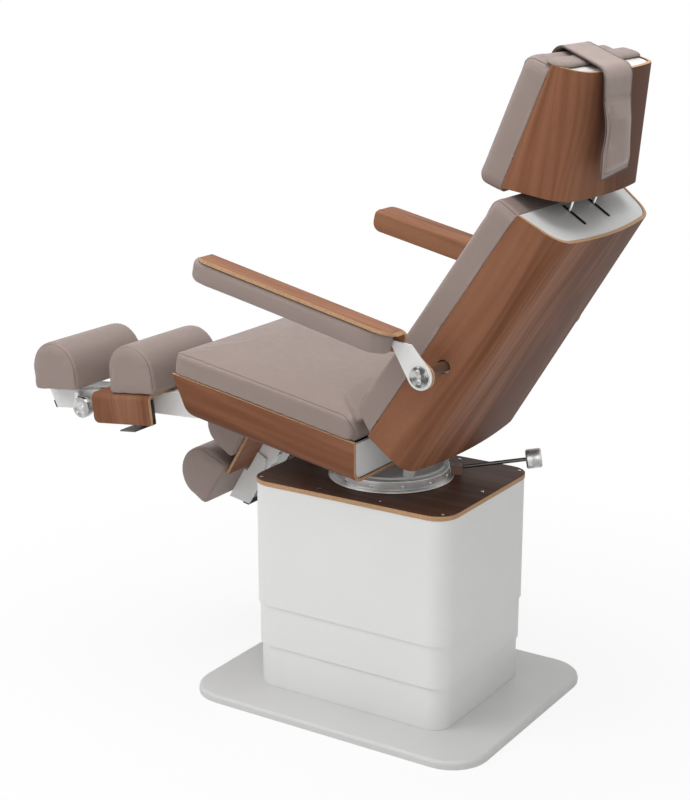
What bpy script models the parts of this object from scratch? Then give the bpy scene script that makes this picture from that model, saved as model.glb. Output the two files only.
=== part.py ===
"""Pedicure chair: a lifting column with a swivelling, tilting seat, a reclining back,
flip-up armrests, a sliding headrest and two separate leg rests with sliding foot rolls.

Metres and degrees. The sitter faces -Y, +X is the sitter's left, +Z is up, and the origin is
the middle of the floor plate's underside. The pose is the one in the photograph: left leg
rest out, right leg rest folded under the seat.
"""

import math

import bmesh
import bpy
from mathutils import Matrix, Vector, geometry

# Clearances
FIT = 0.0003             # between faces that touch
RUN = 0.0005             # between faces that slide or turn on each other

# Floor plate and telescopic column
PLATE_WIDTH = 0.618
PLATE_LENGTH = 0.760
PLATE_HEIGHT = 0.019
PLATE_CORNER = 0.090
PLATE_EDGE = 0.009
COLUMN_WIDTH = 0.404
COLUMN_LENGTH = 0.520
COLUMN_CORNER = 0.050
SHELL_WALL = 0.0035
STAGE_SHOW = 0.102       # height of each lower shell that shows at rest
STAGE_OVERLAP = 0.172    # how far each shell reaches up into the next one at rest
COLUMN_TOP = 0.517       # underside of the wooden top plate
TOP_PLATE = 0.011
TOP_OVERHANG = 0.0015
TUBE_WIDTH = 0.130
TUBE_LENGTH = 0.170
TUBE_CORNER = 0.012
TUBE_WALL = 0.004
TUBE_FLANGE = 0.008
MOTOR_WIDTH = 0.070
MOTOR_LENGTH = 0.120
MOTOR_HEIGHT = 0.130

# Swivel, brake lever and seat carrier
FLANGE_RADIUS = 0.145
FLANGE_HEIGHT = 0.003
RING_RADIUS = 0.135
RING_HEIGHT = 0.0215
CARRIER_RADIUS = 0.124
CARRIER_PLATE = 0.006
CHEEK_SPACING = 0.156    # between the middles of the carrier's two cheeks
CHEEK_WALL = 0.008
CHEEK_FOOT = 0.010       # least length of each cheek's foot on the round plate
BRAKE_ANGLE = 120.0      # seen from above, from +X
BRAKE_RISE = 8.0
BRAKE_CLAMP = 0.026
BRAKE_REACH = 0.326      # knob's middle from the swivel axis
BRAKE_ROD = 0.0045
KNOB_RADIUS = 0.0225
KNOB_LENGTH = 0.036

# Seat
SEAT_REAR_Y = 0.0697
SEAT_REAR_Z = 0.6829
SEAT_TILT = 9.8
SEAT_WIDTH = 0.540
SEAT_LENGTH = 0.497
SEAT_DEPTH = 0.091
SEAT_CORNER = 0.028
SEAT_UNDERCUT = 34.0     # lean of the front end of the side walls
PLY = 0.008
SEAT_CUSHION = 0.055
SEAT_CROWN = 0.014
SEAT_REAR_ROLL = 0.040
BOARD = 0.006
TILT_AXIS_Y = 0.100
TILT_AXIS_Z = 0.614
PIN_RADIUS = 0.008
LUG_RADIUS = 0.017
LUG_WALL = 0.008
ACTUATOR_WIDTH = 0.060
ACTUATOR_HEIGHT = 0.052
ACTUATOR_LENGTH = 0.135
ACTUATOR_CORNER = 0.010
ACTUATOR_REAR = 0.060    # thrust tube's rear end from the seat's rear edge
ACTUATOR_STEP = 0.150    # where the thrust tube meets the motor's case

# Back
BACK_FOOT_Y = 0.1030
BACK_FOOT_Z = 0.7046
BACK_RECLINE = 33.3
BACK_LENGTH = 0.5976
BACK_WIDTH_FOOT = 0.538
BACK_WIDTH_TOP = 0.4954
BACK_DEPTH_FOOT = 0.111
BACK_DEPTH_TOP = 0.099
BACK_TAPER_FOOT = 0.100
BACK_TAPER_TOP = 0.288
BACK_CORNER = 0.043
BACK_BULGE = 0.0168
BACK_FOOT_CUT = 0.12     # how much the lower end drops per unit of depth
BACK_CUSHION = 0.065
BACK_CROWN = 0.016
BACK_CUSHION_LEAN = 0.5
HINGE_Y = 0.112
HINGE_Z = 0.672

# Armrests
ARM_PIVOT_Y = 0.2735
ARM_PIVOT_Z = 0.8775
ARM_TILT = 12.4
ARM_INNER = 0.335        # inner face of the arm's wall from the middle plane
ARM_WIDTH = 0.062
ARM_TOP = 0.0810         # arm's top face above its pivot
ARM_WALL_HEIGHT = 0.055
ARM_REACH = 0.556
ARM_TAIL = 0.029
ARM_BEND = 0.014
ARM_SHAFT = 0.012
ARM_DISC = 0.022
ARM_BRACKET = 0.005

# Headrest
HEAD_FOOT_Y = 0.3677
HEAD_FOOT_Z = 1.2456
HEAD_LEAN = 21.2
HEAD_LENGTH = 0.2617
HEAD_WIDTH_FOOT = 0.394
HEAD_WIDTH_TOP = 0.366
HEAD_DEPTH_FOOT = 0.130
HEAD_DEPTH_TOP = 0.064
HEAD_BULGE = 0.015
HEAD_CORNER = 0.045
HEAD_TAPER = 0.06
HEAD_FOOT_RISE = 0.21    # how much the lower end rises per unit of depth
HEAD_TOP_RISE = 0.16
HEAD_CUSHION = 0.067
HEAD_CUSHION_DROP = 0.014 # cushion's lower end below the shell's front corner
HEAD_CROWN = 0.009
HEAD_CUSHION_EDGE = 0.026
ROD_RADIUS = 0.004
ROD_SPACING = 0.116
ROD_LEAN = 18.0
ROD_ENTRY = 0.026        # rod from the back's front plane, where it passes the end plate
ROD_ABOVE = 0.125
ROD_BELOW = 0.230
SLEEVE_BELOW = 0.125
SLEEVE_LENGTH = 0.046
SLOT_FRONT = 0.008
SLOT_REAR = 0.072
STRAP_WIDTH = 0.140
STRAP_THICK = 0.005
POUCH_THICK = 0.018
STRAP_DROP = 0.205
STRAP_FRONT = 0.125      # strap's front end below the headrest's top
STRAP_FRONT_SIDE = -0.043  # strap's middle line from the middle plane, in front
STRAP_HANG_SIDE = 0.065    # and where it hangs behind the headrest
NECK_WIDTH = 0.170
NECK_HEIGHT = 0.100
NECK_THICK = 0.026

# Leg rests
LEG_HINGE_Y = -0.329
LEG_HINGE_Z = 0.7275
LEG_OUT = -6.35          # left leg rest, from level
LEG_FOLDED = -59.2       # right leg rest, from level
ROLL_WIDTH = 0.138
ROLL_HEIGHT = 0.118
ROLL_INNER = 0.009       # rolls' inner end from the middle plane
ROLL_OUTER = 0.2690
ROLL_BASE = -0.005       # rolls' flat face from the hinge line
CALF_AT = 0.2180
FOOT_OUT = 0.4540        # left foot roll, from the hinge
FOOT_IN = 0.380         # right foot roll, from the hinge
FOOT_LIFT = 0.0015       # foot roll's flat face above the calf roll's
COVER_REAR = 0.166
COVER_FRONT = 0.340
COVER_DROP = 0.073
COVER_INNER = 0.030
COVER_BEND = 0.016
BEAM_INNER = 0.130
BEAM_OUTER = 0.205
BEAM_WALL = 0.004
BEAM_DEPTH_REAR = 0.058
BEAM_DEPTH_FRONT = 0.044
BEAM_END = 0.335
BOSS_RADIUS = 0.016
SLIDE_ROD = 0.006
SLIDE_ROD_INSET = 0.018
SLIDE_LENGTH = 0.300
SLIDE_LEVEL = ROLL_BASE - 0.024
GUIDE_LENGTH = 0.032
GUIDE_DROP = 0.030       # guide block's underside below the beam's top
FOOT_PLATE = 0.004
FOOT_AHEAD = 0.076
FOOT_BEHIND = 0.020
FOOT_CHEEK_BACK = 0.085
FOOT_CHEEK_DROP = 0.058
TONGUE_AT = 0.2275
TONGUE_WIDTH = 0.045
TONGUE_PIVOT = -0.045
TONGUE_DROP = -0.091
TONGUE_WALL = 0.0035
TONGUE_REACH = 0.285
CLAMP_BACK = 0.049       # clamp knob behind the foot roll's middle
CLAMP_LEVEL = -0.052
CLAMP_RADIUS = 0.0215
CLAMP_LENGTH = 0.030


# Frames and outlines

class Frame:
    """A frame in a plane square to X: 'along' rises by angle from -Y, 'square' stands on it."""

    def __init__(self, y, z, angle):
        turn = math.radians(angle)
        self.origin = Vector((0.0, y, z))
        self.along = Vector((0.0, -math.cos(turn), math.sin(turn)))
        self.square = Vector((0.0, math.sin(turn), math.cos(turn)))

    def at(self, x, along, square):
        return self.origin + Vector((x, 0.0, 0.0)) + along * self.along + square * self.square

    def local(self, y, z):
        offset = Vector((0.0, y, z)) - self.origin
        return offset.dot(self.along), offset.dot(self.square)


WORLD = Frame(0.0, 0.0, 180.0)   # along is +Y and square is -Z
SEAT = Frame(SEAT_REAR_Y, SEAT_REAR_Z, SEAT_TILT)
BACK = Frame(BACK_FOOT_Y, BACK_FOOT_Z, 90.0 + BACK_RECLINE)      # square points to the rear
HEAD = Frame(HEAD_FOOT_Y, HEAD_FOOT_Z, 90.0 + HEAD_LEAN)         # square points to the rear
ARM = Frame(ARM_PIVOT_Y, ARM_PIVOT_Z, ARM_TILT)
LEGS = {1: Frame(LEG_HINGE_Y, LEG_HINGE_Z, LEG_OUT), -1: Frame(LEG_HINGE_Y, LEG_HINGE_Z, LEG_FOLDED)}
SIDE_NAMES = {1: "left", -1: "right"}


def arc(middle, start, end, steps):
    """Points from start to end on the short arc round middle."""
    first = Vector(start) - Vector(middle)
    last = Vector(end) - Vector(middle)
    begin = math.atan2(first.y, first.x)
    sweep = math.atan2(first.x * last.y - first.y * last.x, first.dot(last))
    turns = [begin + sweep * k / steps for k in range(steps + 1)]
    return [Vector(middle) + first.length * Vector((math.cos(t), math.sin(t))) for t in turns]


def rounded(points, radius, steps=5):
    """The closed outline through points with its corners rounded; radius is one or one per corner."""
    points = [Vector(p) for p in points]
    radii = radius if isinstance(radius, (list, tuple)) else [radius] * len(points)
    outline = []
    for i, point in enumerate(points):
        before = (points[i - 1] - point).normalized()
        after = (points[(i + 1) % len(points)] - point).normalized()
        if radii[i] <= 0.0:
            outline.append(point)
            continue
        half = before.angle(after) / 2.0
        run = radii[i] / math.tan(half)
        middle = point + (before + after).normalized() * (radii[i] / math.sin(half))
        outline += arc(middle, point + before * run, point + after * run, steps)
    return outline


def rectangle(half_x, half_y, corner, steps=5):
    points = [(half_x, -half_y), (half_x, half_y), (-half_x, half_y), (-half_x, -half_y)]
    return rounded(points, corner, steps)


def circle(radius, sides):
    turns = [2.0 * math.pi * k / sides for k in range(sides)]
    return [Vector((radius * math.cos(t), radius * math.sin(t))) for t in turns]


def hull(points):
    return [Vector(points[i]) for i in geometry.convex_hull_2d([Vector(p) for p in points])]


# Objects

MATERIALS = {}
PIVOTS = {}
EMPTIES = {}


def material(name, colour, roughness, metallic=0.0):
    made = bpy.data.materials.new(name)
    made.use_nodes = True
    shader = made.node_tree.nodes["Principled BSDF"]
    shader.inputs["Base Color"].default_value = (*colour, 1.0)
    shader.inputs["Roughness"].default_value = roughness
    shader.inputs["Metallic"].default_value = metallic
    MATERIALS[name] = made


def body(name, pivot, parent=None):
    """An empty on a moving body's joint axis; the body's pieces hang on it."""
    empty = bpy.data.objects.new(name, None)
    bpy.context.scene.collection.objects.link(empty)
    base = Vector((0.0, 0.0, 0.0))
    if parent:
        empty.parent = EMPTIES[parent]
        base = PIVOTS[parent]
    PIVOTS[name] = Vector(pivot)
    EMPTIES[name] = empty
    empty.location = PIVOTS[name] - base


def mesh_object(name, mesh, paint, owner):
    bmesh.ops.recalc_face_normals(mesh, faces=mesh.faces)
    data = bpy.data.meshes.new(name)
    mesh.to_mesh(data)
    mesh.free()
    data.transform(Matrix.Translation(-PIVOTS[owner]))
    data.shade_smooth()
    data.set_sharp_from_angle(angle=math.radians(35.0))
    made = bpy.data.objects.new(name, data)
    bpy.context.scene.collection.objects.link(made)
    made.parent = EMPTIES[owner]
    made.data.materials.append(MATERIALS[paint])
    return made


def bridge(mesh, rows):
    for low, high in zip(rows, rows[1:]):
        for i in range(len(low)):
            j = (i + 1) % len(low)
            mesh.faces.new((low[i], low[j], high[j], high[i]))


def solid(name, rings, paint, owner):
    """A closed solid through a row of rings, with a face at each end."""
    mesh = bmesh.new()
    rows = [[mesh.verts.new(p) for p in ring] for ring in rings]
    bridge(mesh, rows)
    mesh.faces.new(rows[0][::-1])
    mesh.faces.new(rows[-1])
    return mesh_object(name, mesh, paint, owner)


def hoop(name, rings, paint, owner):
    """A closed solid through a ring of rings, such as a tube's outer and inner faces."""
    mesh = bmesh.new()
    rows = [[mesh.verts.new(p) for p in ring] for ring in rings]
    bridge(mesh, rows + rows[:1])
    return mesh_object(name, mesh, paint, owner)


def level(outline, z):
    return [Vector((p.x, p.y, z)) for p in outline]


def across(frame, outline, x):
    """Outline points are (along, square), laid in the plane at x."""
    return [frame.at(x, p.x, p.y) for p in outline]


def upright(frame, outline, square):
    """Outline points are (x, along), laid at one height over the frame."""
    return [frame.at(p.x, p.y, square) for p in outline]


def round_rings(start, end, profile, sides=20):
    """Rings round the line from start to end; profile rows are (distance, radius)."""
    start = Vector(start)
    line = (Vector(end) - start).normalized()
    first = line.orthogonal().normalized()
    second = line.cross(first)
    ring = circle(1.0, sides)
    return [[start + d * line + r * (p.x * first + p.y * second) for p in ring] for d, r in profile]


def rod(name, start, end, radius, paint, owner, chamfer=0.0008, sides=20):
    length = (Vector(end) - Vector(start)).length
    profile = [(0.0, radius - chamfer), (chamfer, radius), (length - chamfer, radius),
               (length, radius - chamfer)]
    return solid(name, round_rings(start, end, profile, sides), paint, owner)


def helper(made):
    made.hide_render = True
    made.display_type = "WIRE"
    return made


def combine(target, other, operation):
    """Adds, cuts or keeps the overlap of another shape, which stays as a hidden helper."""
    step = target.modifiers.new(operation.lower(), "BOOLEAN")
    step.operation = operation
    step.solver = "EXACT"
    step.object = helper(other)
    return target


def bore(target, start, end, radius, owner, sides=20):
    cutter = rod(target.name + "_bore", start, end, radius, "steel", owner, 0.0001, sides)
    return combine(target, cutter, "DIFFERENCE")


# Bent-ply sections and cushions

def channel_path(half, depth, taper, corner, bulge, steps=6):
    """Half of a channel's outer face as (x, depth) points, from its open edge to the middle."""
    rear = half - taper * depth
    side = Vector((-taper, 1.0)).normalized()
    knee = Vector((rear, depth))
    start = knee - side * corner
    end = Vector((rear - corner, depth))
    path = [Vector((half, 0.0)), start]
    for k in range(1, steps):
        t = k / steps
        path.append((1 - t) ** 2 * start + 2 * t * (1 - t) * knee + t * t * end)
    path += [Vector((end.x * (1.0 - k / steps), depth)) for k in range(steps + 1)]
    for point in path[1:]:
        if point.y > 0.4 * depth:
            point.y += bulge * max(0.0, 1.0 - (point.x / rear) ** 2)
    return path


def inward(path, distance):
    """The path moved inward, its open ends kept level."""
    moved = []
    for i, point in enumerate(path):
        run = path[min(i + 1, len(path) - 1)] - path[max(i - 1, 0)]
        normal = Vector((-run.y, run.x)).normalized()
        moved.append(point + normal * distance)
    for end in (0, -1):
        moved[end] = Vector((moved[end].x, path[end].y))
    return moved


def mirrored(half_path):
    return half_path + [Vector((-p.x, p.y)) for p in half_path[-2::-1]]


def channel(half, depth, taper, corner, bulge, wall):
    outer = mirrored(channel_path(half, depth, taper, corner, bulge))
    return outer + inward(outer, wall)[::-1]


def end_panel(half, depth, taper, corner, bulge, wall, front):
    """The outline that closes a channel's end from inside, its front edge at depth front."""
    panel = inward(mirrored(channel_path(half, depth, taper, corner, bulge)), wall + FIT)
    panel[0] = Vector((panel[0].x, front))
    panel[-1] = Vector((panel[-1].x, front))
    return panel


def pillow_outline(half, start, end, corner, draw, side_steps=6, corner_steps=4):
    """A rounded rectangle as (x, along), its sides drawn in between the corners."""
    corners = rounded([(half, start), (half, end), (-half, end), (-half, start)], corner, corner_steps)
    outline = []
    per_corner = corner_steps + 1
    for k in range(4):
        piece = corners[k * per_corner:(k + 1) * per_corner]
        following = corners[((k + 1) * per_corner) % len(corners)]
        outline += piece
        run = following - piece[-1]
        pull = Vector((-run.y, run.x)).normalized()
        for step in range(1, side_steps):
            t = step / side_steps
            outline.append(piece[-1] + run * t + pull * draw * math.sin(math.pi * t))
    return outline


def pillow(name, frame, paint, owner, half, start, end, height, crown, edge, corner, draw=0.002,
           base=0.0, toward=1.0, lean=0.0, roll=0.0, flare=0.0, aside=0.0):
    """A cushion on a frame's face: drawn-in sides, a rounded upper edge and a crown.

    lean moves the starting end along as it rises, roll rounds that end over from above, and
    flare widens that end by half its share and narrows the other. aside moves it all along X.
    """
    rows = [(0.004, 0.0, 1.0), (0.0, 0.3 * height, 1.0), (0.0, height - edge, 1.0)]
    for turn in (30.0, 60.0, 90.0):
        out = edge * (1.0 - math.cos(math.radians(turn)))
        rows.append((out, height - edge + edge * math.sin(math.radians(turn)), 1.0))
    rows += [(edge, height, scale) for scale in (0.86, 0.7, 0.52, 0.34, 0.17, 0.05)]
    middle = Vector((0.0, (start + end) / 2.0))
    rings = []
    for inset, rise, scale in rows:
        round_off = max(corner - inset, 0.002)
        outline = pillow_outline(half - inset, start + inset, end - inset, round_off, draw)
        ring = []
        for point in outline:
            spot = middle + (point - middle) * scale
            wide = min(1.0, abs(spot.x) / half)
            long = min(1.0, abs(spot.y - middle.y) / (end - middle.y))
            lift = rise + crown * (1.0 - wide ** 2.5) * (1.0 - long ** 2.5)
            if roll and spot.y < start + roll:
                ahead = start + roll - spot.y
                lift = min(lift, height + crown - roll + math.sqrt(max(roll * roll - ahead * ahead, 0.0)))
            share = max(0.0, 1.0 - (spot.y - start) / (0.4 * (end - start)))
            x = aside + spot.x * (1.0 + flare * (middle.y - spot.y) / (end - start))
            ring.append(frame.at(x, spot.y + lean * rise * share, toward * (base + lift)))
        rings.append(ring)
    return solid(name, rings, paint, owner)


# Base and column

def stage_outline(inset):
    """The column's rounded outline, moved in by inset."""
    return rectangle(COLUMN_WIDTH / 2 - inset, COLUMN_LENGTH / 2 - inset, COLUMN_CORNER - inset)


def sleeve(name, low, high, inset, paint, owner):
    outer = stage_outline(inset)
    inner = stage_outline(inset + SHELL_WALL)
    rings = [level(outer, low), level(outer, high), level(inner, high), level(inner, low)]
    return hoop(name, rings, paint, owner)


def tube_outline(inset):
    return rectangle(TUBE_WIDTH / 2 - inset, TUBE_LENGTH / 2 - inset, max(TUBE_CORNER - inset, 0.002))


SHELL_STEP = SHELL_WALL + RUN
TUBE_STEP = TUBE_WALL + RUN
LOWER_TOP = PLATE_HEIGHT + STAGE_SHOW + STAGE_OVERLAP
MIDDLE_FOOT = PLATE_HEIGHT + STAGE_SHOW
MIDDLE_TOP = MIDDLE_FOOT + STAGE_SHOW + STAGE_OVERLAP
UPPER_FOOT = PLATE_HEIGHT + 2 * STAGE_SHOW
DECK = COLUMN_TOP + TOP_PLATE


def floor_plate():
    rows = [(0.0, 0.0), (0.0, PLATE_HEIGHT - PLATE_EDGE)]
    for turn in (30.0, 60.0, 90.0):
        out = PLATE_EDGE * (1.0 - math.cos(math.radians(turn)))
        rows.append((out, PLATE_HEIGHT - PLATE_EDGE + PLATE_EDGE * math.sin(math.radians(turn))))
    rings = []
    for inset, z in rows:
        outline = rectangle(PLATE_WIDTH / 2 - inset, PLATE_LENGTH / 2 - inset, PLATE_CORNER - inset, 7)
        rings.append(level(outline, z))
    solid("floor_plate", rings, "plate_grey", "base")


def column():
    sleeve("column_lower_shell", PLATE_HEIGHT + FIT, LOWER_TOP, 2 * SHELL_STEP, "white", "base")
    sleeve("column_middle_shell", MIDDLE_FOOT, MIDDLE_TOP, SHELL_STEP, "white", "middle_stage")
    sleeve("column_upper_shell", UPPER_FOOT, COLUMN_TOP - FIT, 0.0, "white", "carriage")
    top = stage_outline(-TOP_OVERHANG)
    solid("top_plate", [level(top, COLUMN_TOP), level(top, DECK)], "walnut", "carriage")


def lift():
    """Three nested lift tubes and the motor beside them."""
    outer_foot = PLATE_HEIGHT + FIT
    rings = [level(tube_outline(0.0), outer_foot), level(tube_outline(0.0), LOWER_TOP),
             level(tube_outline(TUBE_WALL), LOWER_TOP), level(tube_outline(TUBE_WALL), outer_foot)]
    hoop("lift_tube_outer", rings, "steel", "base")

    flange = rectangle(COLUMN_WIDTH / 2 - SHELL_STEP - SHELL_WALL - FIT,
                       COLUMN_LENGTH / 2 - SHELL_STEP - SHELL_WALL - FIT,
                       COLUMN_CORNER - SHELL_STEP - SHELL_WALL - FIT)
    under = MIDDLE_TOP - TUBE_FLANGE
    rings = [level(tube_outline(TUBE_STEP), MIDDLE_FOOT), level(tube_outline(TUBE_STEP), under),
             level(flange, under), level(flange, MIDDLE_TOP),
             level(tube_outline(TUBE_STEP + TUBE_WALL), MIDDLE_TOP),
             level(tube_outline(TUBE_STEP + TUBE_WALL), MIDDLE_FOOT)]
    hoop("lift_tube_middle", rings, "steel", "middle_stage")

    inset = 2 * TUBE_STEP
    rings = [level(tube_outline(inset), UPPER_FOOT), level(tube_outline(inset), COLUMN_TOP - FIT),
             level(tube_outline(inset + TUBE_WALL), COLUMN_TOP - FIT),
             level(tube_outline(inset + TUBE_WALL), UPPER_FOOT)]
    hoop("lift_tube_inner", rings, "steel", "carriage")

    side = TUBE_LENGTH / 2 + FIT + MOTOR_WIDTH / 2
    case = rectangle(MOTOR_LENGTH / 2, MOTOR_WIDTH / 2, 0.012, 3)
    case = [p + Vector((0.0, side)) for p in case]
    rings = [level(case, outer_foot), level(case, outer_foot + MOTOR_HEIGHT)]
    solid("lift_motor", rings, "black", "base")


# Swivel and brake

RING_FOOT = DECK + FIT + FLANGE_HEIGHT + FIT
RING_TOP = RING_FOOT + RING_HEIGHT
CARRIER_FOOT = RING_TOP + FIT


def disc(name, radius, low, high, paint, owner, edge=0.001, sides=48):
    rows = [(radius, low), (radius, high - edge), (radius - edge, high)]
    return solid(name, [level(circle(r, sides), z) for r, z in rows], paint, owner)


def swivel():
    disc("ring_flange", FLANGE_RADIUS, DECK + FIT, DECK + FIT + FLANGE_HEIGHT, "aluminium", "carriage")
    disc("swivel_ring", RING_RADIUS, RING_FOOT, RING_TOP, "aluminium", "swivel")


def seat_carrier():
    """A round plate on the ring with two cheeks that hold the tilt pin."""
    top = CARRIER_FOOT + CARRIER_PLATE
    carrier = disc("seat_carrier", CARRIER_RADIUS, CARRIER_FOOT, top, "white", "swivel")
    foot = CARRIER_FOOT + 0.3 * CARRIER_PLATE
    rim = math.sqrt(CARRIER_RADIUS ** 2 - (CHEEK_SPACING + CHEEK_WALL) ** 2 / 4)
    front = min(TILT_AXIS_Y - 1.2 * LUG_RADIUS, rim - CHEEK_FOOT)
    points = [(front, -foot), (TILT_AXIS_Y + 0.3 * LUG_RADIUS, -foot)]
    points += [p + Vector((TILT_AXIS_Y, -TILT_AXIS_Z)) for p in circle(LUG_RADIUS, 20)]
    cheek = hull(points)
    for sign in (1, -1):
        near = sign * (CHEEK_SPACING - CHEEK_WALL) / 2
        far = sign * (CHEEK_SPACING + CHEEK_WALL) / 2
        plate = solid(f"seat_carrier_cheek_{SIDE_NAMES[sign]}",
                      [across(WORLD, cheek, near), across(WORLD, cheek, far)], "white", "swivel")
        combine(carrier, plate, "UNION")
    bore(carrier, (-CHEEK_SPACING, TILT_AXIS_Y, TILT_AXIS_Z), (CHEEK_SPACING, TILT_AXIS_Y, TILT_AXIS_Z),
         PIN_RADIUS + FIT, "swivel")


def brake_point(reach):
    """A point on the brake rod's line, reach from the swivel axis seen from above."""
    turn = math.radians(BRAKE_ANGLE)
    rise = math.tan(math.radians(BRAKE_RISE)) * (reach - RING_RADIUS)
    height = RING_FOOT + 0.55 * RING_HEIGHT + rise
    return Vector((reach * math.cos(turn), reach * math.sin(turn), height))


def brake():
    turn = math.radians(BRAKE_ANGLE)
    out = Vector((math.cos(turn), math.sin(turn), 0.0))
    side = Vector((-out.y, out.x, 0.0))
    near = RING_RADIUS + RUN
    shape = rectangle(BRAKE_CLAMP / 2, BRAKE_CLAMP / 2, 0.004, 3)
    middle = near + BRAKE_CLAMP / 2
    hug = 0.0015         # the clamp's flat face clears the round ring
    rings = []
    for z in (RING_FOOT + FIT, RING_TOP - FIT):
        rings.append([out * (middle + hug + p.x) + side * p.y + Vector((0.0, 0.0, z)) for p in shape])
    solid("brake_clamp", rings, "brown", "brake_lever")
    start = RING_RADIUS + RUN + hug + BRAKE_CLAMP + FIT
    end = BRAKE_REACH - KNOB_LENGTH / 2
    rod("brake_rod", brake_point(start + BRAKE_ROD * 0.2), brake_point(end - FIT), BRAKE_ROD,
        "steel", "brake_lever")
    line = (brake_point(BRAKE_REACH) - brake_point(start)).normalized()
    knob_foot = brake_point(end)
    edge = 0.003
    profile = [(0.0, KNOB_RADIUS - edge), (edge, KNOB_RADIUS), (KNOB_LENGTH - edge, KNOB_RADIUS),
               (KNOB_LENGTH, KNOB_RADIUS - edge)]
    rings = round_rings(knob_foot, knob_foot + line, profile, 28)
    solid("brake_knob", rings, "aluminium", "brake_lever")


# Seat

SEAT_HALF = SEAT_WIDTH / 2
NOTCH_SPARE = 0.008


def seat_front(depth):
    """The side wall's front end along the seat, at a depth below its upper edge."""
    turn_under = 0.022
    low = max(0.0, depth - (SEAT_DEPTH - turn_under))
    curve = turn_under - math.sqrt(max(turn_under * turn_under - low * low, 0.0))
    return SEAT_LENGTH - math.tan(math.radians(SEAT_UNDERCUT)) * depth - 0.5 * curve


def seat_rear(depth):
    """The trough's rear end stands upright while the seat tilts."""
    return -math.tan(math.radians(SEAT_TILT)) * depth


def seat_shell():
    """A bent-ply trough with its front end cut back and two slots for the leg rest beams."""
    corner_steps = 6
    knee = [(SEAT_HALF, 0.0), (SEAT_HALF, SEAT_DEPTH), (-SEAT_HALF, SEAT_DEPTH), (-SEAT_HALF, 0.0)]
    path = rounded(knee, [0.0, SEAT_CORNER, SEAT_CORNER, 0.0], corner_steps)
    fine = []
    for first, second in zip(path, path[1:]):
        steps = 5 if (second - first).length > 0.03 and first.x == second.x else 1
        fine += [first.lerp(second, k / steps) for k in range(steps)]
    fine.append(path[-1])
    section = fine + inward(fine, PLY)[::-1]
    rear = [SEAT.at(p.x, seat_rear(p.y), -p.y) for p in section]
    front = [SEAT.at(p.x, seat_front(p.y), -p.y) for p in section]
    shell = solid("seat_shell", [rear, front], "walnut", "seat")
    hinge_along = SEAT.local(LEG_HINGE_Y, LEG_HINGE_Z)[0]
    slot_start = hinge_along - BEAM_DEPTH_REAR - 0.026
    for sign in (1, -1):
        near = sign * (BEAM_INNER - NOTCH_SPARE)
        far = sign * (BEAM_OUTER + NOTCH_SPARE)
        slot_end = SEAT_LENGTH + PLY
        slot = [(near, slot_start), (far, slot_start), (far, slot_end), (near, slot_end)]
        slot = rounded(slot, [0.012, 0.012, 0.0, 0.0], 3)
        rings = [upright(SEAT, slot, -SEAT_DEPTH - PLY), upright(SEAT, slot, -SEAT_DEPTH + 2 * PLY)]
        cutter = solid(f"seat_slot_{SIDE_NAMES[sign]}", rings, "walnut", "seat")
        combine(shell, cutter, "DIFFERENCE")


def seat_cushion():
    pillow("seat_cushion", SEAT, "leather", "seat", SEAT_HALF - 0.001, 0.005, SEAT_LENGTH + 0.004,
           SEAT_CUSHION, SEAT_CROWN, 0.013, 0.022, base=FIT, roll=SEAT_REAR_ROLL)


def seat_frame():
    """The board under the cushion, with four lugs for the leg rests' pin."""
    half = SEAT_HALF - PLY - FIT
    hinge_along, hinge_square = SEAT.local(LEG_HINGE_Y, LEG_HINGE_Z)
    ahead = SEAT_LENGTH - math.tan(math.radians(SEAT_UNDERCUT)) * BOARD - 0.008
    plan = [(half, 0.012), (half, ahead), (-half, ahead), (-half, 0.012)]
    plan = rounded(plan, 0.004, 2)
    frame = solid("seat_frame", [upright(SEAT, plan, -BOARD), upright(SEAT, plan, -FIT)], "steel", "seat")
    points = [p + Vector((hinge_along, hinge_square)) for p in circle(PIN_RADIUS + 0.006, 16)]
    points += [Vector((hinge_along - 0.03, -0.6 * BOARD)), Vector((hinge_along + 0.03, -0.6 * BOARD))]
    lug = hull(points)
    inner = BEAM_INNER - BEAM_WALL - RUN
    outer = BEAM_OUTER + BEAM_WALL + RUN
    for sign in (1, -1):
        for k, (near, far) in enumerate(((inner - LUG_WALL, inner), (outer, outer + LUG_WALL))):
            rings = [across(SEAT, lug, sign * near), across(SEAT, lug, sign * far)]
            plate = solid(f"seat_frame_lug_{SIDE_NAMES[sign]}_{k}", rings, "steel", "seat")
            combine(frame, plate, "UNION")
    reach = outer + 2 * LUG_WALL
    bore(frame, (-reach, LEG_HINGE_Y, LEG_HINGE_Z), (reach, LEG_HINGE_Y, LEG_HINGE_Z),
         PIN_RADIUS + FIT, "seat")
    pin = outer + LUG_WALL + 0.003
    rod("leg_hinge_pin", (-pin, LEG_HINGE_Y, LEG_HINGE_Z), (pin, LEG_HINGE_Y, LEG_HINGE_Z),
        PIN_RADIUS, "chrome", "seat")


YOKE_INNER = (CHEEK_SPACING + CHEEK_WALL) / 2 + RUN
YOKE_OUTER = YOKE_INNER + LUG_WALL
YOKE_WALL = 0.006
YOKE_SETBACK = 0.003


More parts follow.
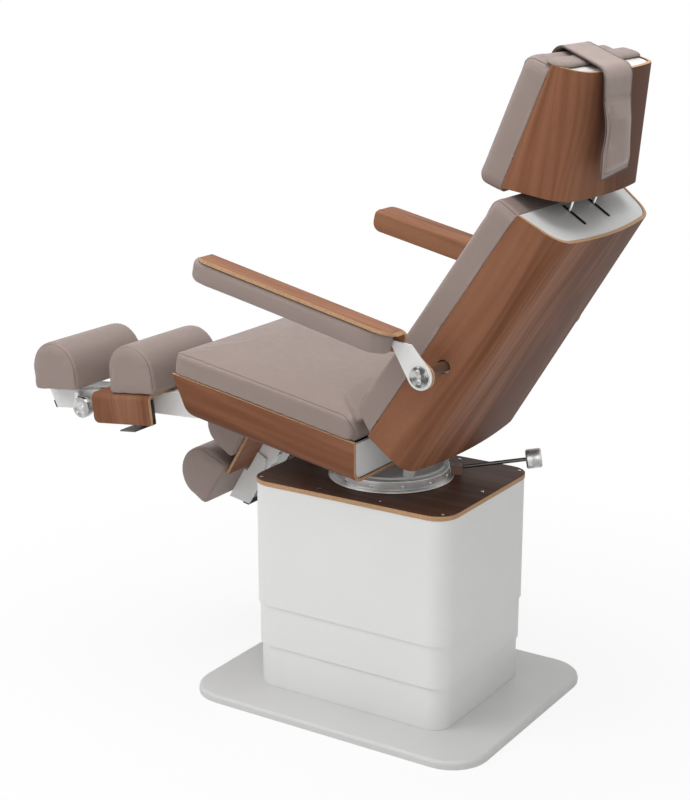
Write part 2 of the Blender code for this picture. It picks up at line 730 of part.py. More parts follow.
def seat_yoke():
    """The white plate that closes the trough's rear end, with lugs for the tilt pin and the back."""
    half = SEAT_HALF - PLY - FIT
    top = -BOARD - FIT
    low = -(SEAT_DEPTH - PLY - FIT)
    corner = max(SEAT_CORNER - PLY, 0.004)
    outline = rounded([(half, top), (-half, top), (-half, low), (half, low)], [0.0, 0.0, corner, corner])
    rings = []
    for ahead in (YOKE_SETBACK, YOKE_SETBACK + YOKE_WALL):
        rings.append([SEAT.at(p.x, seat_rear(-p.y) + ahead, p.y) for p in outline])
    yoke = solid("seat_end_plate", rings, "white", "seat")
    face = SEAT_REAR_Y - YOKE_SETBACK - 0.5 * YOKE_WALL
    points = [(face, -(HINGE_Z - 0.004)), (face, -(TILT_AXIS_Z - 0.010))]
    points += [p + Vector((HINGE_Y, -HINGE_Z)) for p in circle(LUG_RADIUS, 20)]
    points += [p + Vector((TILT_AXIS_Y, -TILT_AXIS_Z)) for p in circle(LUG_RADIUS, 20)]
    lug = hull(points)
    for sign in (1, -1):
        rings = [across(WORLD, lug, sign * YOKE_INNER), across(WORLD, lug, sign * YOKE_OUTER)]
        plate = solid(f"seat_end_plate_lug_{SIDE_NAMES[sign]}", rings, "white", "seat")
        combine(yoke, plate, "UNION")
    for y, z in ((TILT_AXIS_Y, TILT_AXIS_Z), (HINGE_Y, HINGE_Z)):
        bore(yoke, (-SEAT_HALF, y, z), (SEAT_HALF, y, z), PIN_RADIUS + FIT, "seat")
    pin = YOKE_OUTER + 0.004
    rod("tilt_pin", (-pin, TILT_AXIS_Y, TILT_AXIS_Z), (pin, TILT_AXIS_Y, TILT_AXIS_Z),
        PIN_RADIUS, "chrome", "seat")


def tilt_actuator():
    """A motor under the seat board, with its thrust tube pointing to the rear."""
    width = ACTUATOR_WIDTH
    height = ACTUATOR_HEIGHT
    top = -BOARD - FIT
    middle = top - height / 2
    case_end = ACTUATOR_STEP + ACTUATOR_LENGTH
    stages = [(ACTUATOR_REAR, 0.62), (ACTUATOR_STEP, 0.62), (ACTUATOR_STEP, 1.0), (case_end, 1.0)]
    rings = []
    for along, scale in stages:
        shape = rectangle(width / 2 * scale, height / 2 * scale, ACTUATOR_CORNER, 3)
        drop = (1.0 - scale) * height / 2
        rings.append([SEAT.at(p.x, along, middle + p.y + drop) for p in shape])
    solid("tilt_actuator", rings, "black", "seat")


# Back

BACK_HALF = BACK_WIDTH_TOP / 2


def back_section(share):
    """The back shell's outline numbers between its lower (0) and upper (1) end."""
    half = (BACK_WIDTH_FOOT + share * (BACK_WIDTH_TOP - BACK_WIDTH_FOOT)) / 2
    depth = BACK_DEPTH_FOOT + share * (BACK_DEPTH_TOP - BACK_DEPTH_FOOT)
    taper = BACK_TAPER_FOOT + share * (BACK_TAPER_TOP - BACK_TAPER_FOOT)
    return half, depth, taper, BACK_CORNER, BACK_BULGE


def back_end(depth, share):
    """The back's lower (share 0) and upper (share 1) end along its length, at a depth."""
    return share * BACK_LENGTH - (1.0 - share) * BACK_FOOT_CUT * depth


def back_shell():
    rings = []
    for share in (0.0, 1.0):
        section = channel(*back_section(share), PLY)
        rings.append([BACK.at(p.x, back_end(p.y, share), p.y) for p in section])
    shell = solid("back_shell", rings, "walnut", "back")
    bore(shell, (-ARM_INNER, ARM_PIVOT_Y, ARM_PIVOT_Z), (ARM_INNER, ARM_PIVOT_Y, ARM_PIVOT_Z),
         ARM_SHAFT + 0.003, "back", 24)


def slot_outline(x):
    wide = ROD_RADIUS + 0.001
    points = [(x - wide, SLOT_FRONT), (x + wide, SLOT_FRONT), (x + wide, SLOT_REAR), (x - wide, SLOT_REAR)]
    return rounded(points, 0.99 * wide, 4)


def back_end_plate():
    """The grey plate in the back's upper end, with two slots for the headrest's rods."""
    top = BACK_LENGTH - 0.0015
    rings = []
    for along in (top - FOOT_PLATE, top):
        outline = end_panel(*back_section(along / BACK_LENGTH), PLY, FIT)
        rings.append([BACK.at(p.x, along, p.y) for p in outline])
    plate = solid("back_end_plate", rings, "plate_grey", "back")
    for sign in (1, -1):
        slot = slot_outline(sign * ROD_SPACING / 2)
        rings = []
        for along in (top - 3 * FOOT_PLATE, top + FOOT_PLATE):
            rings.append([BACK.at(p.x, along, p.y) for p in slot])
        combine(plate, solid(f"back_slot_{SIDE_NAMES[sign]}", rings, "plate_grey", "back"), "DIFFERENCE")


def back_cushion():
    half = (BACK_WIDTH_FOOT + BACK_WIDTH_TOP) / 4
    pillow("back_cushion", BACK, "leather", "back", half - 0.0005, -0.005, BACK_LENGTH - 0.001,
           BACK_CUSHION, BACK_CROWN, 0.020, 0.024, base=FIT, toward=-1.0, lean=BACK_CUSHION_LEAN,
           flare=(BACK_WIDTH_FOOT - BACK_WIDTH_TOP) / (2 * half))


SLEEVE_HALF = ROD_SPACING / 2 + ROD_RADIUS + 0.012
SLEEVE_THICK = 0.022


def back_frame():
    """The board behind the cushion, with its hinge lugs, arm shaft blocks and sleeve lugs."""
    half = BACK_HALF - PLY - 0.006
    foot = 0.020
    head = BACK_LENGTH - 0.012
    plan = rounded([(half, foot), (half, head), (-half, head), (-half, foot)], 0.010, 3)
    board = solid("back_frame", [upright(BACK, plan, FIT), upright(BACK, plan, BOARD)], "steel", "back")
    hinge = Vector(BACK.local(HINGE_Y, HINGE_Z))
    lug = hull([p + hinge for p in circle(LUG_RADIUS - 0.002, 20)]
               + [Vector((foot + 0.006, 0.5 * BOARD)), Vector((foot + 0.085, 0.5 * BOARD))])
    pivot = Vector(BACK.local(*sleeve_axis()[1:]))
    ear = hull([p + pivot for p in circle(0.011, 16)]
               + [Vector((pivot.x - 0.03, 0.5 * BOARD)), Vector((pivot.x + 0.03, 0.5 * BOARD))])
    arm = Vector(BACK.local(ARM_PIVOT_Y, ARM_PIVOT_Z))
    block = hull([p + arm for p in circle(ARM_SHAFT + 0.006, 20)]
                 + [Vector((arm.x - 0.035, 0.5 * BOARD)), Vector((arm.x + 0.035, 0.5 * BOARD))])
    inner = YOKE_OUTER + RUN
    rail = half - 0.036
    beside = SLEEVE_HALF + RUN
    parts = (("hinge", lug, inner, inner + LUG_WALL), ("ear", ear, beside, beside + LUG_WALL),
             ("arm", block, rail, rail + 0.010))
    for sign in (1, -1):
        for label, outline, near, far in parts:
            rings = [across(BACK, outline, sign * near), across(BACK, outline, sign * far)]
            combine(board, solid(f"back_frame_{label}_{SIDE_NAMES[sign]}", rings, "steel", "back"), "UNION")
        start = Vector((sign * (inner + 0.5 * LUG_WALL), HINGE_Y, HINGE_Z))
        end = (sign * (YOKE_INNER + RUN), HINGE_Y, HINGE_Z)
        stub = rod(f"back_frame_stub_{SIDE_NAMES[sign]}", start, end, PIN_RADIUS, "steel", "back")
        combine(board, stub, "UNION")
    axis = sleeve_axis()
    bore(board, (-BACK_HALF, axis.y, axis.z), (BACK_HALF, axis.y, axis.z), PIN_RADIUS / 2 + FIT, "back")
    for sign in (1, -1):
        start = (sign * (rail - 0.02), ARM_PIVOT_Y, ARM_PIVOT_Z)
        end = (sign * BACK_HALF, ARM_PIVOT_Y, ARM_PIVOT_Z)
        bore(board, start, end, ARM_SHAFT + FIT, "back", 24)
        rod(f"arm_shaft_{SIDE_NAMES[sign]}", (sign * rail, ARM_PIVOT_Y, ARM_PIVOT_Z),
            (sign * (ARM_INNER - RUN), ARM_PIVOT_Y, ARM_PIVOT_Z), ARM_SHAFT, "brown", "back", sides=24)


# Headrest

def rod_line(distance):
    """A point in the middle plane on the headrest rods' line, distance above the back's end plate."""
    entry = BACK.at(0.0, BACK_LENGTH, ROD_ENTRY)
    turn = math.radians(ROD_LEAN)
    return entry + distance * Vector((0.0, math.sin(turn), math.cos(turn)))


def sleeve_axis():
    return rod_line(-SLEEVE_BELOW)


ROD_FRAME = Frame(rod_line(0.0).y, rod_line(0.0).z, 90.0 + ROD_LEAN)


def headrest_sleeve():
    """The swinging block in the back that the headrest's rods slide through."""
    low = -SLEEVE_BELOW - SLEEVE_LENGTH / 2
    shape = rectangle(SLEEVE_HALF, SLEEVE_THICK / 2, 0.003, 2)
    rings = [[ROD_FRAME.at(p.x, along, p.y) for p in shape] for along in (low, low + SLEEVE_LENGTH)]
    block = solid("headrest_sleeve", rings, "black", "headrest_swing")
    axis = sleeve_axis()
    for sign in (1, -1):
        start = Vector((sign * (SLEEVE_HALF - 0.004), axis.y, axis.z))
        end = Vector((sign * (SLEEVE_HALF + RUN + LUG_WALL), axis.y, axis.z))
        combine(block, rod(f"headrest_sleeve_stub_{SIDE_NAMES[sign]}", start, end, PIN_RADIUS / 2, "steel",
                           "headrest_swing"), "UNION")
        offset = Vector((sign * ROD_SPACING / 2, 0.0, 0.0))
        bore(block, rod_line(-SLEEVE_BELOW - SLEEVE_LENGTH) + offset,
             rod_line(-SLEEVE_BELOW + SLEEVE_LENGTH) + offset, ROD_RADIUS + FIT, "headrest_swing", 16)


def head_section(share):
    """The headrest shell's outline numbers between its lower (0) and upper (1) end."""
    half = (HEAD_WIDTH_FOOT + share * (HEAD_WIDTH_TOP - HEAD_WIDTH_FOOT)) / 2
    depth = HEAD_DEPTH_FOOT + share * (HEAD_DEPTH_TOP - HEAD_DEPTH_FOOT)
    return half, depth, HEAD_TAPER, HEAD_CORNER, HEAD_BULGE


def head_end(depth, share):
    """The headrest shell's lower and upper ends along its length, at a depth."""
    return share * (HEAD_LENGTH + HEAD_TOP_RISE * depth) + (1.0 - share) * HEAD_FOOT_RISE * depth


def headrest_shell():
    rings = []
    for share in (0.0, 1.0):
        section = channel(*head_section(share), PLY)
        rings.append([HEAD.at(p.x, head_end(p.y, share), p.y) for p in section])
    solid("headrest_shell", rings, "walnut", "headrest")


def headrest_top_plate():
    rings = []
    for drop in (0.0065, 0.0025):
        share = 1.0 - drop / HEAD_LENGTH
        outline = end_panel(*head_section(share), PLY, FIT)
        rings.append([HEAD.at(p.x, head_end(p.y, 1.0) - drop, p.y) for p in outline])
    solid("headrest_top_plate", rings, "white", "headrest")


def headrest_cushion():
    half = (HEAD_WIDTH_FOOT + HEAD_WIDTH_TOP) / 4
    pillow("headrest_cushion", HEAD, "leather", "headrest", half - 0.0005,
           -HEAD_CUSHION_DROP, HEAD_LENGTH - 0.001, HEAD_CUSHION, HEAD_CROWN, HEAD_CUSHION_EDGE, 0.026,
           base=FIT, toward=-1.0,
           flare=(HEAD_WIDTH_FOOT - HEAD_WIDTH_TOP) / (2 * half))


BLOCK_FOOT = 0.040
BLOCK_TOP = 0.112
BLOCK_HALF = 0.080
BLOCK_DEPTH = 0.104


def headrest_block():
    """The insert behind the cushion that the rods' upper ends sit in."""
    shape = rectangle(BLOCK_HALF, (BLOCK_DEPTH - FIT) / 2, 0.006, 2)
    middle = (BLOCK_DEPTH + FIT) / 2
    rings = [[HEAD.at(p.x, along, middle + p.y) for p in shape] for along in (BLOCK_FOOT, BLOCK_TOP)]
    block = solid("headrest_block", rings, "black", "headrest")
    for sign in (1, -1):
        offset = Vector((sign * ROD_SPACING / 2, 0.0, 0.0))
        bore(block, rod_line(0.0) + offset, rod_line(ROD_ABOVE + 0.001) + offset, ROD_RADIUS + FIT,
             "headrest", 16)


def headrest_rods():
    """Two chrome rods, joined by a cross bar at their lower ends that stops them in the sleeve."""
    offset = Vector((ROD_SPACING / 2, 0.0, 0.0))
    rods = rod("headrest_rods", rod_line(-ROD_BELOW) + offset, rod_line(ROD_ABOVE) + offset,
               ROD_RADIUS, "chrome", "headrest", sides=16)
    other = rod("headrest_rods_other", rod_line(-ROD_BELOW) - offset, rod_line(ROD_ABOVE) - offset,
                ROD_RADIUS, "chrome", "headrest", sides=16)
    height = rod_line(1.5 * ROD_RADIUS - ROD_BELOW)
    bar = rod("headrest_rods_bar", height - offset, height + offset, 0.85 * ROD_RADIUS,
              "chrome", "headrest", sides=14)
    combine(rods, bar, "UNION")
    combine(rods, other, "UNION")


def strap_path():
    """The strap's middle line over the headrest as (along, square) points, front to rear."""
    clear = 2 * FIT + STRAP_THICK / 2
    middle = (HEAD_LENGTH - HEAD_CUSHION_DROP) / 2
    front = []
    for share in (1.0, 0.8, 0.6, 0.4):
        along = HEAD_LENGTH - share * STRAP_FRONT
        crown = HEAD_CROWN * (1.0 - (abs(along - middle) / (HEAD_LENGTH - middle)) ** 2.5)
        front.append(Vector((along, -(HEAD_CUSHION + crown + clear))))
    brow = Vector((HEAD_LENGTH + clear, -(HEAD_CUSHION + clear)))
    rear = HEAD_DEPTH_TOP + HEAD_BULGE
    over = STRAP_THICK + 0.0025
    crest = Vector((HEAD_LENGTH + HEAD_TOP_RISE * rear + over, rear + over))
    turn = math.radians(HEAD_LEAN)
    down = Vector((-math.cos(turn), math.sin(turn)))     # hangs plumb behind the headrest
    radii = [0.0] * len(front) + [HEAD_CUSHION_EDGE + clear, 0.020, 0.0]
    return rounded(front + [brow, crest, crest + STRAP_DROP * down], radii, 6)


def headrest_strap():
    """The leather strap over the top with its weighted end, which balances the neck roll."""
    path = strap_path()
    hang = path[-1] - path[-2]
    steps = 8
    path = path[:-1] + [path[-2] + hang * k / steps for k in range(1, steps + 1)]
    front = path[0].y
    rear = path[-steps - 1].y
    rings = []
    for i, point in enumerate(path):
        run = (path[min(i + 1, len(path) - 1)] - path[max(i - 1, 0)]).normalized()
        normal = Vector((-run.y, run.x))
        share = max(0.0, (i - (len(path) - 1 - steps)) / steps)
        swell = math.sin(math.pi * min(1.0, 1.12 * share)) if share < 0.95 else 0.0
        thick = STRAP_THICK + (POUCH_THICK - STRAP_THICK) * swell
        shape = rectangle(STRAP_WIDTH / 2, thick / 2, 0.45 * STRAP_THICK, 2)
        over = min(1.0, max(0.0, (point.y - front) / (rear - front)))
        side = STRAP_FRONT_SIDE + over * (STRAP_HANG_SIDE - STRAP_FRONT_SIDE)
        rings.append([HEAD.at(side + p.x, point.x + normal.x * p.y, point.y + normal.y * p.y) for p in shape])
    solid("headrest_strap", rings, "leather", "headrest")


def neck_roll():
    """The neck roll on the front of the headrest, held by the strap's front end."""
    top = HEAD_LENGTH - STRAP_FRONT - FIT
    pillow("neck_roll", HEAD, "leather", "headrest", NECK_WIDTH / 2, top - NECK_HEIGHT, top,
           NECK_THICK, 0.006, 0.014, 0.026, base=HEAD_CUSHION + HEAD_CROWN - FIT / 3, toward=-1.0,
           aside=STRAP_FRONT_SIDE)


# Armrests

def arm_side_outline():
    """The arm's side view as (along, square): the wall, its rounded front end and its tail."""
    top = ARM_TOP
    low = ARM_TOP - ARM_WALL_HEIGHT
    reach = ARM_TAIL * math.sqrt(0.5)
    tail = arc((0.0, 0.0), (-reach, reach), (-ARM_TAIL, 0.0), 4)
    tail += arc((0.0, 0.0), (-ARM_TAIL, 0.0), (reach, -reach), 8)[1:]
    start = Vector((low + 2 * reach, low))
    shoulder = Vector((top - 2 * reach, top))
    points = tail + rounded([start, (ARM_REACH, low), (ARM_REACH, top), shoulder],
                            [0.020, 0.022, 0.016, 0.018], 4)
    return points


def arm_plan_outline(sign):
    """The arm's plan as (x, along): the top board with both outer corners rounded, and the tail."""
    wall = ARM_INNER + PLY
    outer = ARM_INNER + ARM_WIDTH
    points = [(ARM_INNER - PLY, -2 * ARM_TAIL), (wall, -2 * ARM_TAIL), (wall, 0.030), (outer, 0.075),
              (outer, ARM_REACH + 0.001), (ARM_INNER - PLY, ARM_REACH + 0.001)]
    outline = rounded(points, [0.0, 0.0, 0.020, 0.050, 0.034, 0.0], 6)
    return [Vector((sign * p.x, p.y)) for p in outline]


def arm_shell(sign, owner):
    """The bent-ply arm: an angle section cut to its side view and plan."""
    outer = ARM_INNER + ARM_WIDTH + PLY
    low = -2 * ARM_TAIL
    bend = rounded([(ARM_INNER, low), (ARM_INNER, ARM_TOP), (outer, ARM_TOP)], [0.0, ARM_BEND, 0.0], 5)
    back = rounded([(outer, ARM_TOP - PLY), (ARM_INNER + PLY, ARM_TOP - PLY), (ARM_INNER + PLY, low)],
                   [0.0, ARM_BEND - PLY, 0.0], 5)
    section = bend + back
    rings = [[ARM.at(sign * p.x, along, p.y) for p in section] for along in (low, ARM_REACH + PLY)]
    name = SIDE_NAMES[sign]
    shell = solid(f"arm_shell_{name}", rings, "walnut", owner)
    side = arm_side_outline()
    rings = [across(ARM, side, sign * (ARM_INNER - 2 * PLY)), across(ARM, side, sign * (outer + PLY))]
    combine(shell, solid(f"arm_side_cut_{name}", rings, "walnut", owner), "INTERSECT")
    plan = arm_plan_outline(sign)
    rings = [upright(ARM, plan, low - PLY), upright(ARM, plan, ARM_TOP + PLY)]
    combine(shell, solid(f"arm_plan_cut_{name}", rings, "walnut", owner), "INTERSECT")


ARM_PAD_REAR = 0.072
ARM_PAD_AHEAD = 0.009
ARM_PAD_HEIGHT = 0.050


def arm_pad(sign, owner):
    """The leather block under the arm's top board, rounded at both ends."""
    inner = ARM_INNER + PLY + ARM_BRACKET + 2 * FIT
    outer = ARM_INNER + ARM_WIDTH - 0.001
    top = ARM_TOP - PLY - FIT
    width = outer - inner
    length = ARM_REACH + ARM_PAD_AHEAD - ARM_PAD_REAR
    stations = [(0.0, 0.30, 0.90), (0.010, 0.66, 0.96), (0.030, 0.93, 1.0), (0.055, 1.0, 1.0),
                (0.35 * length, 1.0, 1.0), (0.65 * length, 1.0, 1.0), (length - 0.040, 1.0, 1.0),
                (length - 0.018, 0.96, 0.97), (length - 0.006, 0.84, 0.90), (length, 0.62, 0.78)]
    rings = []
    for along, wide, tall in stations:
        half = width * wide / 2
        high = ARM_PAD_HEIGHT * tall / 2
        corner = min(0.009, 0.9 * half, 0.9 * high)
        shape = rectangle(half, high, corner, 3)
        middle = inner + half
        rings.append([ARM.at(sign * (middle + p.x), ARM_PAD_REAR + along, top - high + p.y) for p in shape])
    solid(f"arm_pad_{SIDE_NAMES[sign]}", rings, "leather", owner)


def arm_bracket(sign, owner):
    """The white plate on the outside of the arm's tail and the steel disc over its pivot."""
    wall = ARM_INNER + PLY + FIT
    reach = ARM_TAIL * math.sqrt(0.5)
    rise = ARM_TOP - ARM_WALL_HEIGHT / 2
    points = [p * 0.97 for p in circle(ARM_TAIL, 28)]
    points += [Vector((rise - reach, rise + reach * 0.2)), Vector((rise + 1.6 * reach, rise - 0.1 * reach))]
    outline = hull(points)
    rings = [across(ARM, outline, sign * wall), across(ARM, outline, sign * (wall + ARM_BRACKET))]
    solid(f"arm_bracket_{SIDE_NAMES[sign]}", rings, "white", owner)
    start = Vector((sign * (wall + ARM_BRACKET + FIT), ARM_PIVOT_Y, ARM_PIVOT_Z))
    profile = [(0.0, ARM_DISC), (0.002, ARM_DISC), (0.003, ARM_DISC - 0.001)]
    rings = round_rings(start, start + Vector((sign, 0.0, 0.0)), profile, 28)
    solid(f"arm_disc_{SIDE_NAMES[sign]}", rings, "steel", owner)


# Leg rests

def roll_section(scale=1.0, swell=0.0):
    """A leg roll's section as (along, square): flat below, straight sides, round above."""
    half = ROLL_WIDTH / 2
    dome = ROLL_HEIGHT - half + swell
    points = [Vector((-half + 0.006, 0.0)), Vector((half - 0.006, 0.0)), Vector((half, 0.008))]
    steps = 14
    for k in range(steps + 1):
        turn = math.pi * k / steps
        points.append(Vector((half * math.cos(turn), dome + half * math.sin(turn))))
    points.append(Vector((-half, 0.008)))
    middle = Vector((0.0, ROLL_HEIGHT / 2))
    return [middle + (p - middle) * scale for p in points]


def roll(name, frame, sign, along, base, owner):
    """A lateral half-round leather roll: crowned in the middle, its ends drawn in."""
    length = ROLL_OUTER - ROLL_INNER
    stations = [(0.0, 0.930), (0.0035, 0.972), (0.010, 0.992)]
    stations += [(share * length, 1.0) for share in (0.12, 0.3, 0.5, 0.7, 0.88)]
    stations += [(length - 0.010, 0.992), (length - 0.0035, 0.972), (length, 0.930)]
    rings = []
    for reach, scale in stations:
        swell = 0.003 * math.sin(math.pi * reach / length)
        lift = ROLL_HEIGHT / 2 * (scale - 1.0)
        shape = roll_section(scale, swell)
        x = sign * (ROLL_INNER + reach)
        rings.append([frame.at(x, along + p.x, base + p.y + lift) for p in shape])
    return solid(name, rings, "leather", owner)


def leg_beam(sign, frame, owner):
    """The white channel from the hinge to the foot rest's slide, open below."""
    top = ROLL_BASE - PLY - 2 * FIT
    name = SIDE_NAMES[sign]

    def section(depth):
        points = [(BEAM_INNER, -depth), (BEAM_INNER, 0.0), (BEAM_OUTER, 0.0), (BEAM_OUTER, -depth),
                  (BEAM_OUTER - BEAM_WALL, -depth), (BEAM_OUTER - BEAM_WALL, -BEAM_WALL),
                  (BEAM_INNER + BEAM_WALL, -BEAM_WALL), (BEAM_INNER + BEAM_WALL, -depth)]
        return [Vector(p) for p in points]

    rings = []
    stations = ((0.022, 0.8 * BEAM_DEPTH_REAR), (0.080, BEAM_DEPTH_REAR), (BEAM_END, BEAM_DEPTH_FRONT))
    for along, depth in stations:
        rings.append([frame.at(sign * p.x, along, top + p.y) for p in section(depth)])
    beam = solid(f"leg_beam_{name}", rings, "white", owner)
    reach = 0.034
    root = [Vector((reach, top - 0.002)), Vector((reach, top - 0.75 * BEAM_DEPTH_REAR))]
    ear = hull(circle(BOSS_RADIUS, 20) + root)
    low, high = BEAM_INNER - BEAM_WALL, BEAM_OUTER + BEAM_WALL
    walls = ((low, BEAM_INNER + 0.5 * BEAM_WALL), (BEAM_OUTER - 0.5 * BEAM_WALL, high))
    for k, (near, far) in enumerate(walls):
        rings = [across(frame, ear, sign * near), across(frame, ear, sign * far)]
        combine(beam, solid(f"leg_beam_ear_{name}_{k}", rings, "white", owner), "UNION")
    guide = [(BEAM_INNER + 0.5 * BEAM_WALL, 0.5 * BEAM_WALL), (BEAM_OUTER - 0.5 * BEAM_WALL, 0.5 * BEAM_WALL),
             (BEAM_OUTER - 0.5 * BEAM_WALL, GUIDE_DROP), (BEAM_INNER + 0.5 * BEAM_WALL, GUIDE_DROP)]
    ends = (BEAM_END - GUIDE_LENGTH, BEAM_END - 0.003)
    rings = [[frame.at(sign * x, along, top - drop) for x, drop in guide] for along in ends]
    combine(beam, solid(f"leg_beam_guide_{name}", rings, "white", owner), "UNION")
    bore(beam, (0.0, LEG_HINGE_Y, LEG_HINGE_Z), (sign * (high + 0.02), LEG_HINGE_Y, LEG_HINGE_Z),
         PIN_RADIUS + FIT, owner)
    for x in (BEAM_INNER + SLIDE_ROD_INSET, BEAM_OUTER - SLIDE_ROD_INSET):
        bore(beam, frame.at(sign * x, ends[0] - 0.01, SLIDE_LEVEL),
             frame.at(sign * x, BEAM_END + 0.01, SLIDE_LEVEL),
             SLIDE_ROD + FIT, owner, 16)


def calf_cover(sign, frame, owner):
    """The bent-ply cover: a shelf under the calf roll and a side flange."""
    top = ROLL_BASE - FIT
    low = top - COVER_DROP
    outer = ROLL_OUTER + 0.001
    face = rounded([(COVER_INNER, top), (outer, top), (outer, low)], [0.0, COVER_BEND, 0.0], 6)
    back = rounded([(outer - PLY, low), (outer - PLY, top - PLY), (COVER_INNER, top - PLY)],
                   [0.0, COVER_BEND - PLY, 0.0], 6)
    section = face + back
    name = SIDE_NAMES[sign]
    rings = [[frame.at(sign * p.x, along, p.y) for p in section] for along in (COVER_REAR, COVER_FRONT)]
    cover = solid(f"calf_cover_{name}", rings, "walnut", owner)
    rear = COVER_REAR - PLY
    side = rounded([(rear, low), (COVER_FRONT, low), (COVER_FRONT, top + PLY), (rear, top + PLY)],
                   [0.0, 0.014, 0.012, 0.0], 4)
    rings = [across(frame, side, sign * (COVER_INNER - PLY)), across(frame, side, sign * (outer + PLY))]
    combine(cover, solid(f"calf_cover_cut_{name}", rings, "walnut", owner), "INTERSECT")


def release_tongue(sign, frame, owner):
    """The steel release tongue: a tab on the beam's outer side and a paddle under the cover."""
    near = BEAM_OUTER + RUN
    points = [(near, TONGUE_PIVOT + 0.012), (near, TONGUE_DROP), (TONGUE_REACH, TONGUE_DROP),
              (TONGUE_REACH, TONGUE_DROP + TONGUE_WALL), (near + TONGUE_WALL, TONGUE_DROP + TONGUE_WALL),
              (near + TONGUE_WALL, TONGUE_PIVOT + 0.012)]
    section = rounded(points, [0.0, 0.003, 0.001, 0.001, 0.0, 0.0], 2)
    ends = (TONGUE_AT - TONGUE_WIDTH / 2, TONGUE_AT + TONGUE_WIDTH / 2)
    rings = [[frame.at(sign * p.x, along, p.y) for p in section] for along in ends]
    solid(f"release_tongue_{SIDE_NAMES[sign]}", rings, "steel", owner)


def foot_bracket(sign, frame, at, owner):
    """The white carrier under the foot roll: a top plate, an end plate and two cheeks."""
    top = ROLL_BASE + FOOT_LIFT - FIT
    low = top - FOOT_CHEEK_DROP
    inner = BEAM_INNER - RUN - FOOT_PLATE - 0.0015
    outer = BEAM_OUTER + RUN + FOOT_PLATE + 0.0015
    name = SIDE_NAMES[sign]
    plan = [(sign * inner, at - FOOT_BEHIND), (sign * outer, at - FOOT_BEHIND),
            (sign * outer, at + FOOT_AHEAD), (sign * inner, at + FOOT_AHEAD)]
    plan = [Vector(p) for p in plan]
    rings = [upright(frame, plan, top - FOOT_PLATE), upright(frame, plan, top)]
    bracket = solid(f"foot_bracket_{name}", rings, "white", owner)
    under = ROLL_BASE - FIT - PLY - RUN
    cheek = [(at - FOOT_CHEEK_BACK, under - 0.030), (at - FOOT_CHEEK_BACK, under), (at - FOOT_BEHIND, under),
             (at - FOOT_BEHIND, top - 0.001), (at + FOOT_AHEAD, top - 0.001), (at + FOOT_AHEAD - 0.022, low),
             (at - 0.030, low)]
    cheek = [Vector(p) for p in cheek]
    for k, (near, far) in enumerate(((inner, inner + FOOT_PLATE), (outer - FOOT_PLATE, outer))):
        rings = [across(frame, cheek, sign * near), across(frame, cheek, sign * far)]
        combine(bracket, solid(f"foot_bracket_cheek_{name}_{k}", rings, "white", owner), "UNION")
    wall_top = top - 0.001
    wall_low = low + 0.012
    lean = 0.022 * (wall_top - wall_low) / FOOT_CHEEK_DROP
    wall = [(at + FOOT_AHEAD - 0.001, wall_top), (at + FOOT_AHEAD - 0.001 - lean, wall_low),
            (at + FOOT_AHEAD - 0.005 - lean, wall_low), (at + FOOT_AHEAD - 0.005, wall_top)]
    wall = [Vector(p) for p in wall]
    rings = [across(frame, wall, sign * (inner + 0.001)), across(frame, wall, sign * (outer - 0.001))]
    combine(bracket, solid(f"foot_bracket_wall_{name}", rings, "white", owner), "UNION")


def slide_rods(sign, frame, at, owner):
    """Two chrome rods on a cross block under the foot bracket's top plate."""
    front = at + FOOT_AHEAD - 0.022
    name = SIDE_NAMES[sign]
    near = BEAM_INNER + SLIDE_ROD_INSET
    far = BEAM_OUTER - SLIDE_ROD_INSET
    low = SLIDE_LEVEL - 1.4 * SLIDE_ROD
    high = ROLL_BASE + FOOT_LIFT - FIT - FOOT_PLATE - FIT
    block = rectangle((far - near) / 2 + 1.6 * SLIDE_ROD, (high - low) / 2, 0.003, 2)
    middle = sign * (near + far) / 2
    rings = []
    for along in (front - 0.014, front):
        rings.append([frame.at(middle + p.x, along, (low + high) / 2 + p.y) for p in block])
    rods = solid(f"slide_rods_{name}", rings, "chrome", owner)
    for k, x in enumerate((near, far)):
        start = frame.at(sign * x, front - 0.007, SLIDE_LEVEL)
        end = frame.at(sign * x, front - SLIDE_LENGTH, SLIDE_LEVEL)
        combine(rods, rod(f"slide_rod_{name}_{k}", start, end, SLIDE_ROD, "chrome", owner, sides=16), "UNION")


def clamp_knob(sign, frame, at, owner):
    """The hand knob that locks the foot rest's slide, with its flange on the bracket's cheek."""
    face = BEAM_OUTER + RUN + FOOT_PLATE + 0.0015 + RUN
    start = frame.at(sign * face, at - CLAMP_BACK, CLAMP_LEVEL)
    neck = 0.55 * CLAMP_RADIUS
    profile = [(0.0, neck), (0.007, neck), (0.007 + 0.002, CLAMP_RADIUS - 0.001), (0.011, CLAMP_RADIUS),
               (CLAMP_LENGTH - 0.002, CLAMP_RADIUS), (CLAMP_LENGTH, CLAMP_RADIUS - 0.003)]
    rings = round_rings(start, start + Vector((sign, 0.0, 0.0)), profile, 24)
    solid(f"clamp_knob_{SIDE_NAMES[sign]}", rings, "aluminium", owner)


